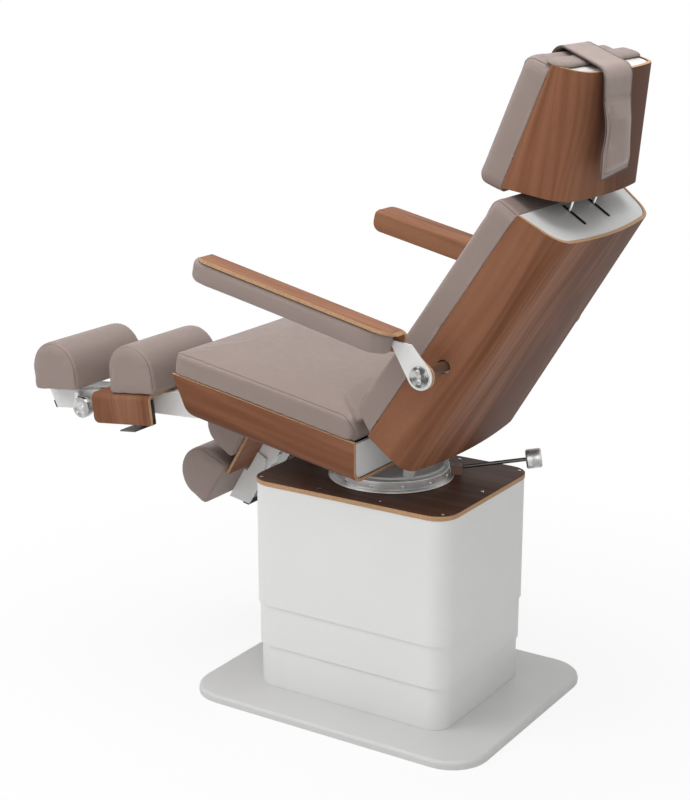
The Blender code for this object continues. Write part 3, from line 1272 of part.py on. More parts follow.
def leg_rest(sign):
    name = SIDE_NAMES[sign]
    frame = LEGS[sign]
    foot_at = FOOT_OUT if sign > 0 else FOOT_IN
    leg = f"leg_{name}"
    foot = f"foot_{name}"
    body(leg, frame.origin, "seat")
    body(foot, frame.at(0.0, foot_at, 0.0), leg)
    body(f"clamp_{name}", frame.at(0.0, foot_at - CLAMP_BACK, CLAMP_LEVEL), foot)
    body(f"tongue_{name}", frame.at(0.0, TONGUE_AT, TONGUE_PIVOT), leg)
    leg_beam(sign, frame, leg)
    calf_cover(sign, frame, leg)
    roll(f"calf_roll_{name}", frame, sign, CALF_AT, ROLL_BASE, leg)
    release_tongue(sign, frame, f"tongue_{name}")
    foot_bracket(sign, frame, foot_at, foot)
    slide_rods(sign, frame, foot_at, foot)
    roll(f"foot_roll_{name}", frame, sign, foot_at, ROLL_BASE + FOOT_LIFT, foot)
    clamp_knob(sign, frame, foot_at, f"clamp_{name}")


def arm_rest(sign):
    owner = f"arm_{SIDE_NAMES[sign]}"
    body(owner, (0.0, ARM_PIVOT_Y, ARM_PIVOT_Z), "back")
    arm_shell(sign, owner)
    arm_pad(sign, owner)
    arm_bracket(sign, owner)


def main():
    for old in list(bpy.data.objects):
        bpy.data.objects.remove(old, do_unlink=True)

    material("white", (0.80, 0.80, 0.79), 0.40)
    material("plate_grey", (0.62, 0.63, 0.62), 0.45)
    material("walnut", (0.23, 0.105, 0.055), 0.45)
    material("leather", (0.26, 0.20, 0.175), 0.55)
    material("aluminium", (0.62, 0.62, 0.61), 0.35, 1.0)
    material("chrome", (0.75, 0.75, 0.75), 0.12, 1.0)
    material("steel", (0.45, 0.45, 0.45), 0.35, 1.0)
    material("brown", (0.12, 0.07, 0.05), 0.45)
    material("black", (0.02, 0.02, 0.02), 0.50)

    body("base", (0.0, 0.0, 0.0))
    body("middle_stage", (0.0, 0.0, MIDDLE_FOOT), "base")
    body("carriage", (0.0, 0.0, DECK), "base")
    body("swivel", (0.0, 0.0, RING_FOOT), "carriage")
    body("brake_lever", brake_point(RING_RADIUS + RUN + BRAKE_CLAMP / 2), "swivel")
    body("seat", (0.0, TILT_AXIS_Y, TILT_AXIS_Z), "swivel")
    body("back", (0.0, HINGE_Y, HINGE_Z), "seat")
    body("headrest_swing", sleeve_axis(), "back")
    body("headrest", rod_line(0.0), "headrest_swing")

    floor_plate()
    column()
    lift()
    swivel()
    seat_carrier()
    brake()
    seat_shell()
    seat_cushion()
    seat_frame()
    seat_yoke()
    tilt_actuator()
    back_shell()
    back_end_plate()
    back_cushion()
    back_frame()
    headrest_sleeve()
    headrest_shell()
    headrest_top_plate()
    headrest_cushion()
    headrest_block()
    headrest_rods()
    headrest_strap()
    neck_roll()
    for sign in (1, -1):
        arm_rest(sign)
        leg_rest(sign)


main()
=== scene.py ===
import math

import bmesh
import bpy
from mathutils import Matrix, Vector
from mathutils.bvhtree import BVHTree
from mathutils.kdtree import KDTree


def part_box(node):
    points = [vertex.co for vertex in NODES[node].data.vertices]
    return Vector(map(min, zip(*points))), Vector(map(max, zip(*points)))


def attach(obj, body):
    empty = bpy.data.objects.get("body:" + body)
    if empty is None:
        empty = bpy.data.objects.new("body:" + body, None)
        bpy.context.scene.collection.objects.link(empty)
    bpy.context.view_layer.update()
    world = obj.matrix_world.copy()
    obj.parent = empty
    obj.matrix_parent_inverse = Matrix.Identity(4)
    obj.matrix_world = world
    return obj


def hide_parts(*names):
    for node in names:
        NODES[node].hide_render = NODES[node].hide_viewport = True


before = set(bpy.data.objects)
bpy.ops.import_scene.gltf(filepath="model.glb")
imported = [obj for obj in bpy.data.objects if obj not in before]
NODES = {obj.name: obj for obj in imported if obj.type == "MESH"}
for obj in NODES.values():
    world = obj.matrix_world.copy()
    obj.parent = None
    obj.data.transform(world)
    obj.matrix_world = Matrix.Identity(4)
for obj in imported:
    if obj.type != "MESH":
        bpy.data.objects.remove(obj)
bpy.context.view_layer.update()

SIDES = {1: "left", -1: "right"}
ACROSS = Vector((1.0, 0.0, 0.0))
UP = Vector((0.0, 0.0, 1.0))

# Driving dimensions, repeated from the part's source in metres and degrees

FIT = 0.0003
PLY = 0.008
DECK = 0.528
SEAT_WIDTH = 0.540
SEAT_LENGTH = 0.497
SEAT_DEPTH = 0.091
SEAT_CORNER = 0.028
SEAT_TILT = 9.8
SEAT_UNDERCUT = 34.0
SEAT_CUSHION = 0.055
SEAT_CROWN = 0.014
SEAT_REAR_ROLL = 0.040
BACK_RECLINE = 33.3
BACK_LENGTH = 0.5976
BACK_WIDTH = (0.538, 0.4954)       # lower and upper end
BACK_DEPTH = (0.111, 0.099)
BACK_TAPER = (0.100, 0.288)
BACK_CORNER = 0.043
BACK_BULGE = 0.0168
BACK_FOOT_CUT = 0.12
BACK_CUSHION = 0.065
BACK_CROWN = 0.016
BACK_CUSHION_LEAN = 0.5
HEAD_LEAN = 21.2
HEAD_LENGTH = 0.2617
HEAD_WIDTH = (0.394, 0.366)
HEAD_DEPTH = (0.130, 0.064)
HEAD_BULGE = 0.015
HEAD_CORNER = 0.045
HEAD_TAPER = 0.06
HEAD_FOOT_RISE = 0.21
HEAD_TOP_RISE = 0.16
HEAD_CUSHION = 0.067
HEAD_CUSHION_DROP = 0.014
HEAD_CROWN = 0.009
HEAD_CUSHION_EDGE = 0.026
STRAP_WIDTH = 0.140
STRAP_THICK = 0.005
POUCH_THICK = 0.018
STRAP_DROP = 0.205
STRAP_FRONT = 0.125
STRAP_FRONT_SIDE = -0.043
STRAP_HANG_SIDE = 0.065
NECK_WIDTH = 0.170
NECK_HEIGHT = 0.100
NECK_THICK = 0.026
ARM_PIVOT = (0.2735, 0.8775)
ARM_TILT = 12.4
ARM_INNER = 0.335
ARM_WIDTH = 0.062
ARM_TOP = 0.0810
ARM_REACH = 0.556
ARM_BRACKET = 0.005
ARM_SHAFT = 0.012
ARM_PAD_REAR = 0.072
ARM_PAD_AHEAD = 0.009
ARM_PAD_HEIGHT = 0.050
LEG_HINGE = (-0.329, 0.7275)
LEG_OUT = -6.35
LEG_FOLDED = -59.2
ROLL_WIDTH = 0.138
ROLL_HEIGHT = 0.118
ROLL_INNER = 0.009
ROLL_OUTER = 0.269
ROLL_BASE = -0.005
CALF_AT = 0.2180
FOOT_AT = {1: 0.4540, -1: 0.380}
FOOT_LIFT = 0.0015
BEAM_INNER = 0.130
BEAM_OUTER = 0.205
SLOT_SPARE = 0.008
SLOT_START = 0.3085
RING_RADIUS = 0.135
RING_FOOT = 0.531
RING_HEIGHT = 0.0215
ROD_SPACING = 0.116
SLOT_FRONT = 0.008
SLOT_REAR = 0.072
TILT_AXIS = (0.100, 0.614)
TILT_PIN_END = 0.0945
CLAMP_FACE = 0.212
CLAMP_BACK = 0.049
CLAMP_LEVEL = -0.052
CLAMP_RADIUS = 0.0215
CLAMP_LENGTH = 0.030
FOOT_AHEAD = 0.076
FOOT_SLANT = 0.022
FOOT_DROP = 0.058


# Frames and outlines

class Frame:
    """A frame in a plane square to X: 'along' rises by angle from -Y, 'square' stands on it."""

    def __init__(self, y, z, angle):
        turn = math.radians(angle)
        self.origin = Vector((0.0, y, z))
        self.along = Vector((0.0, -math.cos(turn), math.sin(turn)))
        self.square = Vector((0.0, math.sin(turn), math.cos(turn)))

    def at(self, x, along, square):
        return self.origin + Vector((x, 0.0, 0.0)) + along * self.along + square * self.square

    def local(self, point):
        offset = point - self.origin
        return Vector((point.x, offset.dot(self.along), offset.dot(self.square)))


SEAT = Frame(0.0697, 0.6829, SEAT_TILT)
BACK = Frame(0.1030, 0.7046, 90.0 + BACK_RECLINE)
HEAD = Frame(0.3677, 1.2456, 90.0 + HEAD_LEAN)
ARM = Frame(*ARM_PIVOT, ARM_TILT)
LEGS = {1: Frame(*LEG_HINGE, LEG_OUT), -1: Frame(*LEG_HINGE, LEG_FOLDED)}


def between(pair, share):
    return pair[0] + share * (pair[1] - pair[0])


def unit(value):
    """The value, held between 0 and 1."""
    return max(0.0, min(1.0, value))


def heading(points, i):
    """From the point before a line's point to the one after it."""
    return points[min(i + 1, len(points) - 1)] - points[max(i - 1, 0)]


def running(points):
    """The distance along a line to each of its points."""
    run = [0.0]
    for a, b in zip(points, points[1:]):
        run.append(run[-1] + (b - a).length)
    return run


def dense(points, step=0.003):
    """The line through points with extra points, about a step apart."""
    fine = []
    for a, b in zip(points, points[1:]):
        count = max(1, round((b - a).length / step))
        fine += [a.lerp(b, k / count) for k in range(count)]
    return fine + [points[-1]]


def arc(middle, start, end, steps):
    """Points from start to end on the short arc round middle."""
    first = Vector(start) - Vector(middle)
    last = Vector(end) - Vector(middle)
    begin = math.atan2(first.y, first.x)
    sweep = math.atan2(first.x * last.y - first.y * last.x, first.dot(last))
    turns = [begin + sweep * k / steps for k in range(steps + 1)]
    return [Vector(middle) + first.length * Vector((math.cos(t), math.sin(t))) for t in turns]


def rounded(points, radius, steps=5):
    """The outline through points with its corners rounded; radius is one or one per corner."""
    points = [Vector(p) for p in points]
    radii = radius if isinstance(radius, (list, tuple)) else [radius] * len(points)
    outline = []
    for i, point in enumerate(points):
        if radii[i] <= 0.0:
            outline.append(point)
            continue
        before = (points[i - 1] - point).normalized()
        after = (points[(i + 1) % len(points)] - point).normalized()
        half = before.angle(after) / 2.0
        run = radii[i] / math.tan(half)
        middle = point + (before + after).normalized() * (radii[i] / math.sin(half))
        outline += arc(middle, point + before * run, point + after * run, steps)
    return outline


def box(left, right, low, high):
    """A rectangle's corners, from its lower right one."""
    return [(right, low), (right, high), (left, high), (left, low)]


def circle(sides):
    turns = [2.0 * math.pi * k / sides for k in range(sides)]
    return [Vector((math.cos(t), math.sin(t))) for t in turns]


def channel_path(half, depth, taper, corner, bulge, steps=14):
    """Half of a bent shell's outer face as (x, depth) points, from its open edge to the middle."""
    rear = half - taper * depth
    side = Vector((-taper, 1.0)).normalized()
    knee = Vector((rear, depth))
    start = knee - side * corner
    end = Vector((rear - corner, depth))
    path = [Vector((half, 0.0)), start]
    for k in range(1, steps):
        t = k / steps
        path.append((1 - t) ** 2 * start + 2 * t * (1 - t) * knee + t * t * end)
    path += [Vector((end.x * (1.0 - k / steps), depth)) for k in range(steps + 1)]
    bulge_from = 0.4 * depth
    for point in path[1:]:
        if point.y > bulge_from:
            point.y += bulge * max(0.0, 1.0 - (point.x / rear) ** 2)
    return path


def mirrored(half_path):
    return half_path + [Vector((-p.x, p.y)) for p in half_path[-2::-1]]


def inset(path, distance):
    """A line moved to the right of its run."""
    moved = []
    for i, point in enumerate(path):
        run = heading(path, i)
        moved.append(point + Vector((run.y, -run.x)).normalized() * distance)
    return moved


def inward(path, distance):
    """A shell's outline moved inward, its open ends kept level."""
    moved = inset(path, -distance)
    for end in (0, -1):
        moved[end].y = path[end].y
    return moved


# Nodes and materials

def assign(thing, **values):
    """The thing, with its attributes set to these values."""
    for key, value in values.items():
        setattr(thing, key, value)
    return thing


class Nodes:
    """A node tree, with short calls for adding nodes and joining them."""

    def __init__(self, tree, prefix="ShaderNode"):
        self.tree = tree
        self.prefix = prefix

    def feed(self, source, socket):
        if isinstance(source, bpy.types.NodeSocket):
            self.tree.links.new(source, socket)
        else:
            socket.default_value = source

    def add(self, kind, sources=None, **settings):
        node = assign(self.tree.nodes.new(self.prefix + kind), **settings)
        for socket, source in (sources or {}).items():
            self.feed(source, node.inputs[socket])
        return node

    def place(self, kind="Object"):
        return self.add("TexCoord").outputs[kind]

    def math(self, operation, first, second=0.0):
        return self.add("Math", {0: first, 1: second}, operation=operation).outputs[0]

    def times(self, first, second):
        return self.math("MULTIPLY", first, second)

    def plus(self, first, second):
        return self.math("ADD", first, second)

    def size(self, value):
        return self.math("ABSOLUTE", value)

    def vector(self, operation, first, second=(0.0, 0.0, 0.0)):
        node = self.add("VectorMath", {0: first, 1: second}, operation=operation)
        return node.outputs["Value" if operation in ("DOT_PRODUCT", "LENGTH") else "Vector"]

    def noise(self, vector, scale, detail=3.0, rough=0.5, twist=0.0):
        names = ("Vector", "Scale", "Detail", "Roughness", "Distortion")
        return self.add("TexNoise", dict(zip(names, (vector, scale, detail, rough, twist)))).outputs[0]

    def span(self, value, low, high, out_low, out_high):
        names = ("Value", "From Min", "From Max", "To Min", "To Max")
        sources = dict(zip(names, (value, low, high, out_low, out_high)))
        return self.add("MapRange", sources).outputs["Result"]

    def vary(self, noise, out_low, out_high):
        """A span over the values that a noise mostly takes."""
        return self.span(noise, 0.3, 0.7, out_low, out_high)


def dim(colour, factor):
    return [factor * part for part in colour]


class Paint(Nodes):
    """A new material; constants are values for its shader's sockets."""

    def __init__(self, name, **constants):
        self.made = bpy.data.materials.new(name)
        self.made.use_nodes = True
        super().__init__(self.made.node_tree)
        self.shader = self.tree.nodes["Principled BSDF"]
        for socket, value in constants.items():
            self.shader.inputs[socket.replace("_", " ")].default_value = value

    def ramp(self, value, stops):
        node = self.add("ValToRGB", {"Fac": value})
        elements = node.color_ramp.elements
        for element, (spot, colour) in zip((elements[0], elements[1]), (stops[0], stops[-1])):
            element.position = spot
            element.color = (*colour, 1.0)
        for spot, colour in stops[1:-1]:
            elements.new(spot).color = (*colour, 1.0)
        return node.outputs["Color"]

    def tone(self, value, tint, dark, low=0.3, high=0.7):
        """The tint, dimmed to dark where the value is low."""
        return self.ramp(value, [(low, dim(tint, dark)), (high, tint)])

    def mix(self, factor, first, second):
        node = self.add("Mix", {0: factor, 6: first}, data_type="RGBA")
        self.feed(second, node.inputs[7])
        return node.outputs[2]

    def bump(self, height, strength, distance, under=None):
        node = self.add("Bump", {"Height": height, "Strength": strength, "Distance": distance})
        if under:
            self.feed(under, node.inputs["Normal"])
        return node.outputs["Normal"]

    def finish(self, colour, roughness, normal):
        for name, source in (("Base Color", colour), ("Roughness", roughness), ("Normal", normal)):
            self.feed(source, self.shader.inputs[name])
        return self.made


LEATHER_LIGHT = (0.312, 0.240, 0.215)
LEATHER_DARK = (0.292, 0.223, 0.199)
WOOD_DARK = (0.118, 0.046, 0.024)
WOOD_BROWN = (0.205, 0.084, 0.044)
WOOD_MIDDLE = (0.275, 0.120, 0.066)
WOOD_LIGHT = (0.345, 0.165, 0.095)
TAN_LIGHT = (0.640, 0.410, 0.235)
TAN_DARK = (0.430, 0.240, 0.125)
PAINTED_SHADE_SPAN = (0.10, 0.50)           # where round the shell's veneer the painted shade begins and is full


def leather(name, light=1.0, dark=1.0):
    """Fine-grained upholstery leather: pebbles, soft folds, a dye mottled between two tones and painted
    shade in the pebbles' creases.
    """
    paint = Paint(name, Specular_IOR_Level=0.42, Sheen_Weight=0.04)
    light = dim(LEATHER_LIGHT, light)
    dark = dim(LEATHER_DARK, dark)
    where = paint.place()
    folds = paint.noise(where, 55.0, 5.0, 0.62)
    cells = paint.add("TexVoronoi", {"Vector": where, "Scale": 560.0}, feature="DISTANCE_TO_EDGE")
    crease = paint.span(cells.outputs["Distance"], 0.0, 0.22, 0.0, 1.0)
    dye = paint.ramp(paint.noise(where, 6.0, 4.0, 0.6), [(0.32, dark), (0.68, light)])
    # Painted shade: in the pebbles' creases the colour darkens by up to a quarter towards 0.78 of the
    # dark tone.
    colour = paint.mix(paint.span(crease, 0.0, 0.6, 0.25, 0.0), dye, (*dim(dark, 0.78), 1.0))
    normal = paint.bump(crease, 0.22, 0.0004, paint.bump(folds, 0.10, 0.003))
    return paint.finish(colour, paint.vary(folds, 0.44, 0.58), normal)


def wood(paint, where, painted_shade=None, tone=1.0):
    """Walnut veneer with its grain along the second coordinate: colour, roughness and normal.

    painted_shade, from 0 to 1, darkens the sheet as painted shade, and tone dims the whole sheet.
    """
    def grain(vector, across, along, *rest):
        return paint.noise(paint.vector("MULTIPLY", vector, (across, along, across)), 1.0, *rest)

    sway = paint.span(grain(where, 2.5, 1.6, 1.0), 0.0, 1.0, -0.04, 0.04)
    where = paint.vector("ADD", where, sway)
    broad = grain(where, 7.0, 0.6, 2.0, 0.45, 0.9)
    streak = grain(where, 55.0, 1.4, 3.0, 0.5, 0.4)
    pore = paint.span(grain(where, 1100.0, 30.0, 2.0), 0.58, 0.72, 0.0, 0.35)
    rings = paint.times(paint.math("SINE", paint.times(broad, 80.0)), 0.03)
    figure = paint.plus(paint.times(broad, 0.66), paint.times(streak, 0.22))
    figure = paint.plus(figure, paint.plus(rings, 0.09))
    # Painted shade: the sheet darkens by up to 0.31 where painted_shade is full, so its other side stands
    # lighter as painted light.
    if painted_shade:
        figure = paint.math("SUBTRACT", figure, paint.times(painted_shade, 0.31))
    stops = [(0.30, WOOD_DARK), (0.43, WOOD_BROWN), (0.53, WOOD_MIDDLE), (0.68, WOOD_LIGHT)]
    sheet = paint.ramp(figure, [(spot, dim(colour, tone)) for spot, colour in stops])
    colour = paint.mix(pore, sheet, (*dim(WOOD_DARK, tone), 1.0))
    relief = paint.math("SUBTRACT", paint.times(streak, 0.4), pore)
    return colour, paint.vary(figure, 0.50, 0.40), paint.bump(relief, 0.16, 0.0005)


def plies(paint, depth, along):
    """The cut edge of bent ply: alternating layers across depth, with fibres along it."""
    layers = paint.math("SINE", paint.times(depth, 2.0 * math.pi * 3.5 / PLY))
    value = paint.plus(paint.times(layers, 0.22), paint.noise(along, 240.0, 3.0, 0.6))
    return paint.ramp(value, [(0.25, TAN_DARK), (0.75, TAN_LIGHT)])


def unrolled(name, gloss):
    """A paint for shells, with their unrolled coordinates in metres and the first of these."""
    paint = Paint(name, Specular_IOR_Level=gloss)
    where = paint.add("UVMap", uv_map="veneer").outputs["UV"]
    return paint, where, paint.add("SeparateXYZ", {0: where}).outputs[0]


def veneer_by_uv():
    paint, where, across = unrolled("walnut_veneer", 0.06)
    # Painted shade on the shells: darker from 0.10 to 0.50 of the way round from their +X edge, the side
    # towards the lamps.
    return paint.finish(*wood(paint, where, paint.span(across, *PAINTED_SHADE_SPAN, 0.0, 1.0)))


def cut_edge_by_uv():
    paint, where, depth = unrolled("ply_edge", 0.35)
    roughness = paint.vary(paint.noise(where, 90.0), 0.5, 0.65)
    normal = paint.bump(paint.noise(where, 700.0), 0.15, 0.0004)
    return paint.finish(plies(paint, depth, where), roughness, normal)


def veneer_by_place(name, origin, grain, up, top, wall=None, tone=1.0):
    """The veneer for flat boards and angle pieces, with their cut edges in the same material.

    grain and up are directions, top is the board's upper face along up. Where wall is given,
    the piece also has a wall whose face is at that distance from the middle plane. Grain along
    X turns down at the wall.
    """
    paint = Paint(name, Specular_IOR_Level=0.06)
    offset = paint.vector("SUBTRACT", paint.place(), origin)
    facing = paint.place("Normal")
    side = grain.cross(up)
    x, y, z = [paint.vector("DOT_PRODUCT", offset, axis) for axis in (side, grain, up)]
    depth = paint.math("SUBTRACT", top, z)
    turns = abs(grain.x) > 0.5
    spot = {0: x, 1: paint.plus(paint.size(y), depth)} if turns else {0: x, 1: y, 2: z}
    where = paint.add("CombineXYZ", spot).outputs[0]

    def square_to(axis):
        return paint.size(paint.vector("DOT_PRODUCT", facing, axis))

    sheet = square_to(up)
    if wall is not None:
        across = paint.size(y if turns else x)
        wall_depth = paint.size(paint.math("SUBTRACT", across, wall))
        on_wall = paint.math("LESS_THAN", wall_depth, depth)
        sheet = paint.plus(sheet, paint.times(on_wall, paint.math("SUBTRACT", square_to(ACROSS), sheet)))
        depth = paint.math("MINIMUM", depth, wall_depth)
    edge = paint.span(sheet, 0.45, 0.65, 1.0, 0.0)
    if wall is not None:
        end_on = square_to(side if turns else grain)
        edge = paint.math("MAXIMUM", edge, paint.span(end_on, 0.35, 0.5, 0.0, 1.0))
    colour, roughness, normal = wood(paint, where, tone=tone)
    return paint.finish(paint.mix(edge, colour, plies(paint, depth, where)), roughness, normal)


def powder_coat(name, tint, rough):
    """Sprayed metal: a faint orange peel and slow changes of tone."""
    paint = Paint(name, Specular_IOR_Level=0.5)
    where = paint.place()
    colour = paint.tone(paint.noise(where, 3.0, 4.0, 0.6), tint, 0.955)
    roughness = paint.vary(paint.noise(where, 25.0), rough - 0.05, rough + 0.07)
    return paint.finish(colour, roughness, paint.bump(paint.noise(where, 380.0, 2.0), 0.07, 0.0005))


def metal(name, tint, rough, stretch, strength=0.08):
    """Worked metal: fine tool marks, stretched by direction, and uneven polish."""
    paint = Paint(name, Metallic=1.0)
    where = paint.place()
    marks = paint.noise(paint.vector("MULTIPLY", where, stretch), 1.0, 3.0, 0.6)
    roughness = paint.vary(paint.noise(where, 30.0, 4.0, 0.6), 0.8 * rough, 1.25 * rough)
    return paint.finish(paint.tone(marks, tint, 0.86), roughness, paint.bump(marks, strength, 0.0003))


def turned_metal(name, tint, rough, origin, axis, dark=0.62):
    """Metal turned on a lathe: the tool marks run round the axis, and wedges round it dim to dark as
    painted reflections.
    """
    paint = Paint(name, Metallic=1.0)
    where = paint.place()
    offset = paint.vector("SUBTRACT", where, origin)
    along = paint.vector("DOT_PRODUCT", offset, axis)
    rings = paint.add("CombineXYZ", {0: along, 1: paint.vector("LENGTH", offset)}).outputs[0]
    marks = paint.noise(rings, 1700.0, 2.0, 0.6)
    # Painted reflections: a slow noise over the direction from the axis dims wedges of the metal to dark.
    painted_reflection = paint.noise(paint.vector("NORMALIZE", offset), 1.7, 1.0)
    sheen = paint.plus(paint.times(marks, 0.35), paint.times(painted_reflection, 0.65))
    colour = paint.tone(sheen, tint, dark, 0.43, 0.57)
    roughness = paint.vary(paint.noise(where, 40.0), 0.85 * rough, 1.2 * rough)
    return paint.finish(colour, roughness, paint.bump(marks, 0.10, 0.0003))


def moulded(name, tint, rough):
    """Moulded plastic or painted wood: a fine matt texture."""
    paint = Paint(name, Specular_IOR_Level=0.45)
    where = paint.place()
    cloud = paint.noise(where, 12.0)
    roughness = paint.vary(cloud, rough - 0.06, rough + 0.08)
    normal = paint.bump(paint.noise(where, 900.0, 2.0), 0.10, 0.0003)
    return paint.finish(paint.tone(cloud, tint, 0.8), roughness, normal)


def thread(name, tint):
    """Twisted sewing thread."""
    paint = Paint(name, Specular_IOR_Level=0.3)
    waves = {"Vector": paint.place(), "Scale": 420.0, "Distortion": 1.5}
    twist = paint.add("TexWave", waves, bands_direction="DIAGONAL").outputs["Fac"]
    colour = paint.tone(twist, tint, 0.72, 0.1, 0.8)
    roughness = paint.span(twist, 0.0, 1.0, 0.75, 0.55)
    return paint.finish(colour, roughness, paint.bump(twist, 0.3, 0.0003))


LEATHER = leather("leather_taupe")
# Very dark leather: along the cushions' foot it is painted shade in the gap to the board, and on the
# strap it is partly a binding and partly painted shade.
SHADE_AND_BINDING = leather("leather_shade_and_binding", light=0.30, dark=0.26)
# The welts are the leather dimmed to 0.62 and 0.55: painted shade in the seam lines.
SHADED_WELT = leather("leather_seam_shaded", light=0.62, dark=0.55)
# The strap's leather is the taupe leather lightened about 1.2 times: painted light.
STRAP_LEATHER_PAINTED_LIGHT = leather("leather_strap_painted_light", light=1.22, dark=1.2)
STITCH = thread("thread_taupe", (0.36, 0.28, 0.25))
VENEER = veneer_by_uv()
PLY_EDGE = cut_edge_by_uv()
WHITE = powder_coat("white_coat", (0.84, 0.84, 0.83), 0.38)
GREY = powder_coat("grey_coat", (0.80, 0.81, 0.80), 0.42)
PALE = powder_coat("pale_coat", (0.66, 0.66, 0.65), 0.42)
CHROME = metal("chrome", (0.82, 0.82, 0.82), 0.09, (40.0, 40.0, 40.0), 0.01)
DARK_STEEL = metal("dark_steel", (0.12, 0.112, 0.104), 0.42, (300.0, 60.0, 300.0))
STEEL = metal("steel", (0.50, 0.50, 0.49), 0.30, (500.0, 60.0, 500.0))
TUBE_STEEL = metal("tube_steel", (0.42, 0.42, 0.42), 0.38, (700.0, 700.0, 8.0))
BROWN = moulded("brown_lacquer", (0.130, 0.070, 0.045), 0.40)
CLAY = moulded("moulded_clay", (0.300, 0.165, 0.125), 0.50)
BLACK = moulded("black_plastic", (0.022, 0.022, 0.023), 0.50)
RING = turned_metal("turned_ring", (0.84, 0.84, 0.83), 0.42, (0.0, 0.0, RING_FOOT), UP)


# Pieces

def stand(name, mesh):
    """A new object from mesh, with its faces turned outward."""
    bmesh.ops.recalc_face_normals(mesh, faces=mesh.faces)
    data = bpy.data.meshes.new(name)
    mesh.to_mesh(data)
    mesh.free()
    made = bpy.data.objects.new(name, data)
    bpy.context.scene.collection.objects.link(made)
    return made


def piece(name, mesh, body, paints, sharp=40.0):
    """A new piece for a body, with its materials."""
    made = stand(name, mesh)
    made.data.shade_smooth()
    made.data.set_sharp_from_angle(angle=math.radians(sharp))
    for paint in paints:
        made.data.materials.append(paint)
    made["body"] = body
    return made


def settle(made, *replaced):
    """Puts a finished piece on its body, in place of the solids it stands for."""
    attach(made, made["body"])
    if replaced:
        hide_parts(*replaced)


def bake(made):
    """Applies a piece's modifiers to its mesh."""
    bpy.context.view_layer.update()
    graph = bpy.context.evaluated_depsgraph_get()
    old = made.data
    data = bpy.data.meshes.new_from_object(made.evaluated_get(graph))
    made.modifiers.clear()
    made.data = data
    bpy.data.meshes.remove(old)


def bridge(mesh, rows):
    for low, high in zip(rows, rows[1:]):
        for i in range(len(low)):
            j = (i + 1) % len(low)
            mesh.faces.new((low[i], low[j], high[j], high[i]))


def closed(rings, mesh=None):
    """A closed shape through a row of rings, with a face at each end, in a mesh or a new one."""
    if mesh is None:
        mesh = bmesh.new()
    rows = [[mesh.verts.new(p) for p in ring] for ring in rings]
    bridge(mesh, rows)
    mesh.faces.new(rows[0][::-1])
    mesh.faces.new(rows[-1])
    return mesh


def turned(middle, axis, profile, sides):
    """A shape round an axis; profile rows are (distance, radius), and the flats' number if cut."""
    axis = Vector(axis).normalized()
    first = axis.orthogonal().normalized()
    second = axis.cross(first)
    rings = []
    for distance, radius, *flats in profile:
        ring = []
        for p in circle(sides):
            reach = radius
            if flats:
                half = math.pi / flats[0]
                turn = (math.atan2(p.y, p.x) + half) % (2.0 * half) - half
                reach = radius * math.cos(half) / math.cos(turn)
            ring.append(Vector(middle) + distance * axis + reach * (p.x * first + p.y * second))
        rings.append(ring)
    return closed(rings)


def screw(name, middle, axis, size, body, paint=CHROME):
    """A low domed screw head with a hexagon socket; size is its radius and height."""
    radius, height = size
    head = [(-0.4, 0.9), (0.0, 1.0), (0.45, 1.0), (0.85, 0.86), (1.0, 0.62)]
    socket = [(1.0, 0.46, 6), (0.4, 0.44, 6)]
    profile = [(rise * height, wide * radius, *flats) for rise, wide, *flats in head + socket]
    settle(piece(name, turned(middle, axis, profile, 24), body, [paint]))


def smooth_by_angle(limit):
    """A node group that shades faces smooth and keeps edges over the limit sharp."""
    group = bpy.data.node_groups.new("smooth_by_angle", "GeometryNodeTree")
    for way in ("INPUT", "OUTPUT"):
        group.interface.new_socket("Geometry", in_out=way, socket_type="NodeSocketGeometry")
    nodes = Nodes(group, "")
    angle = nodes.add("GeometryNodeInputMeshEdgeAngle").outputs["Unsigned Angle"]
    sides = {"A": angle, "B": math.radians(limit)}
    above = nodes.add("FunctionNodeCompare", sides, data_type="FLOAT", operation="GREATER_THAN")
    start = nodes.add("NodeGroupInput").outputs[0]
    faces = nodes.add("GeometryNodeSetShadeSmooth", {"Geometry": start}).outputs[0]
    edges = {"Geometry": faces, "Selection": above.outputs["Result"], "Shade Smooth": False}
    sharp = nodes.add("GeometryNodeSetShadeSmooth", edges, domain="EDGE").outputs[0]
    nodes.add("NodeGroupOutput", {0: sharp})
    return group


SMOOTH = smooth_by_angle(50.0)


def soften(made, width=0.0009, limit=50.0):
    """Rounds the edges sharper than the limit and evens the shading."""
    bevel = made.modifiers.new("edge", "BEVEL")
    assign(bevel, width=width, segments=2, limit_method="ANGLE", angle_limit=math.radians(limit))
    made.modifiers.new("shade", "NODES").node_group = SMOOTH
    made.modifiers.new("even", "WEIGHTED_NORMAL").keep_sharp = True


def dress(node, paint, edge=0.0007):
    """A solid carried over: joined corners, small rounded edges and a new material."""
    made = NODES[node]
    for slot in made.material_slots:
        slot.material = paint
    made.modifiers.new("weld", "WELD").merge_threshold = 0.00002
    flat = made.modifiers.new("flat", "DECIMATE")
    assign(flat, decimate_type="DISSOLVE", angle_limit=math.radians(0.3))
    soften(made, edge, 38.0)


# Camera, floor and light

CAMERA_AT = (3.17577, 1.91663, 1.75960)
CAMERA_LINE = (-0.80882, -0.52050, -0.27367)
FOCAL_SHARE = 1692.13 / 800.0      # focal length over the height of a 690 by 800 frame
SENSOR = 36.0
FLOOR_GAP = 0.0004
FLOOR_COLOUR = (0.88, 0.88, 0.88, 1.0)
AMBIENT = 0.30
LAMP_TARGET = Vector((0.0, 0.0, 0.7))
LAMPS = {                          # place, width and watts
    "key": ((2.4, -2.2, 3.2), 2.6, 65.0),
    "top": ((0.2, 0.2, 4.2), 3.4, 90.0),
    "side": ((3.4, 2.4, 2.6), 2.4, 32.0),
}


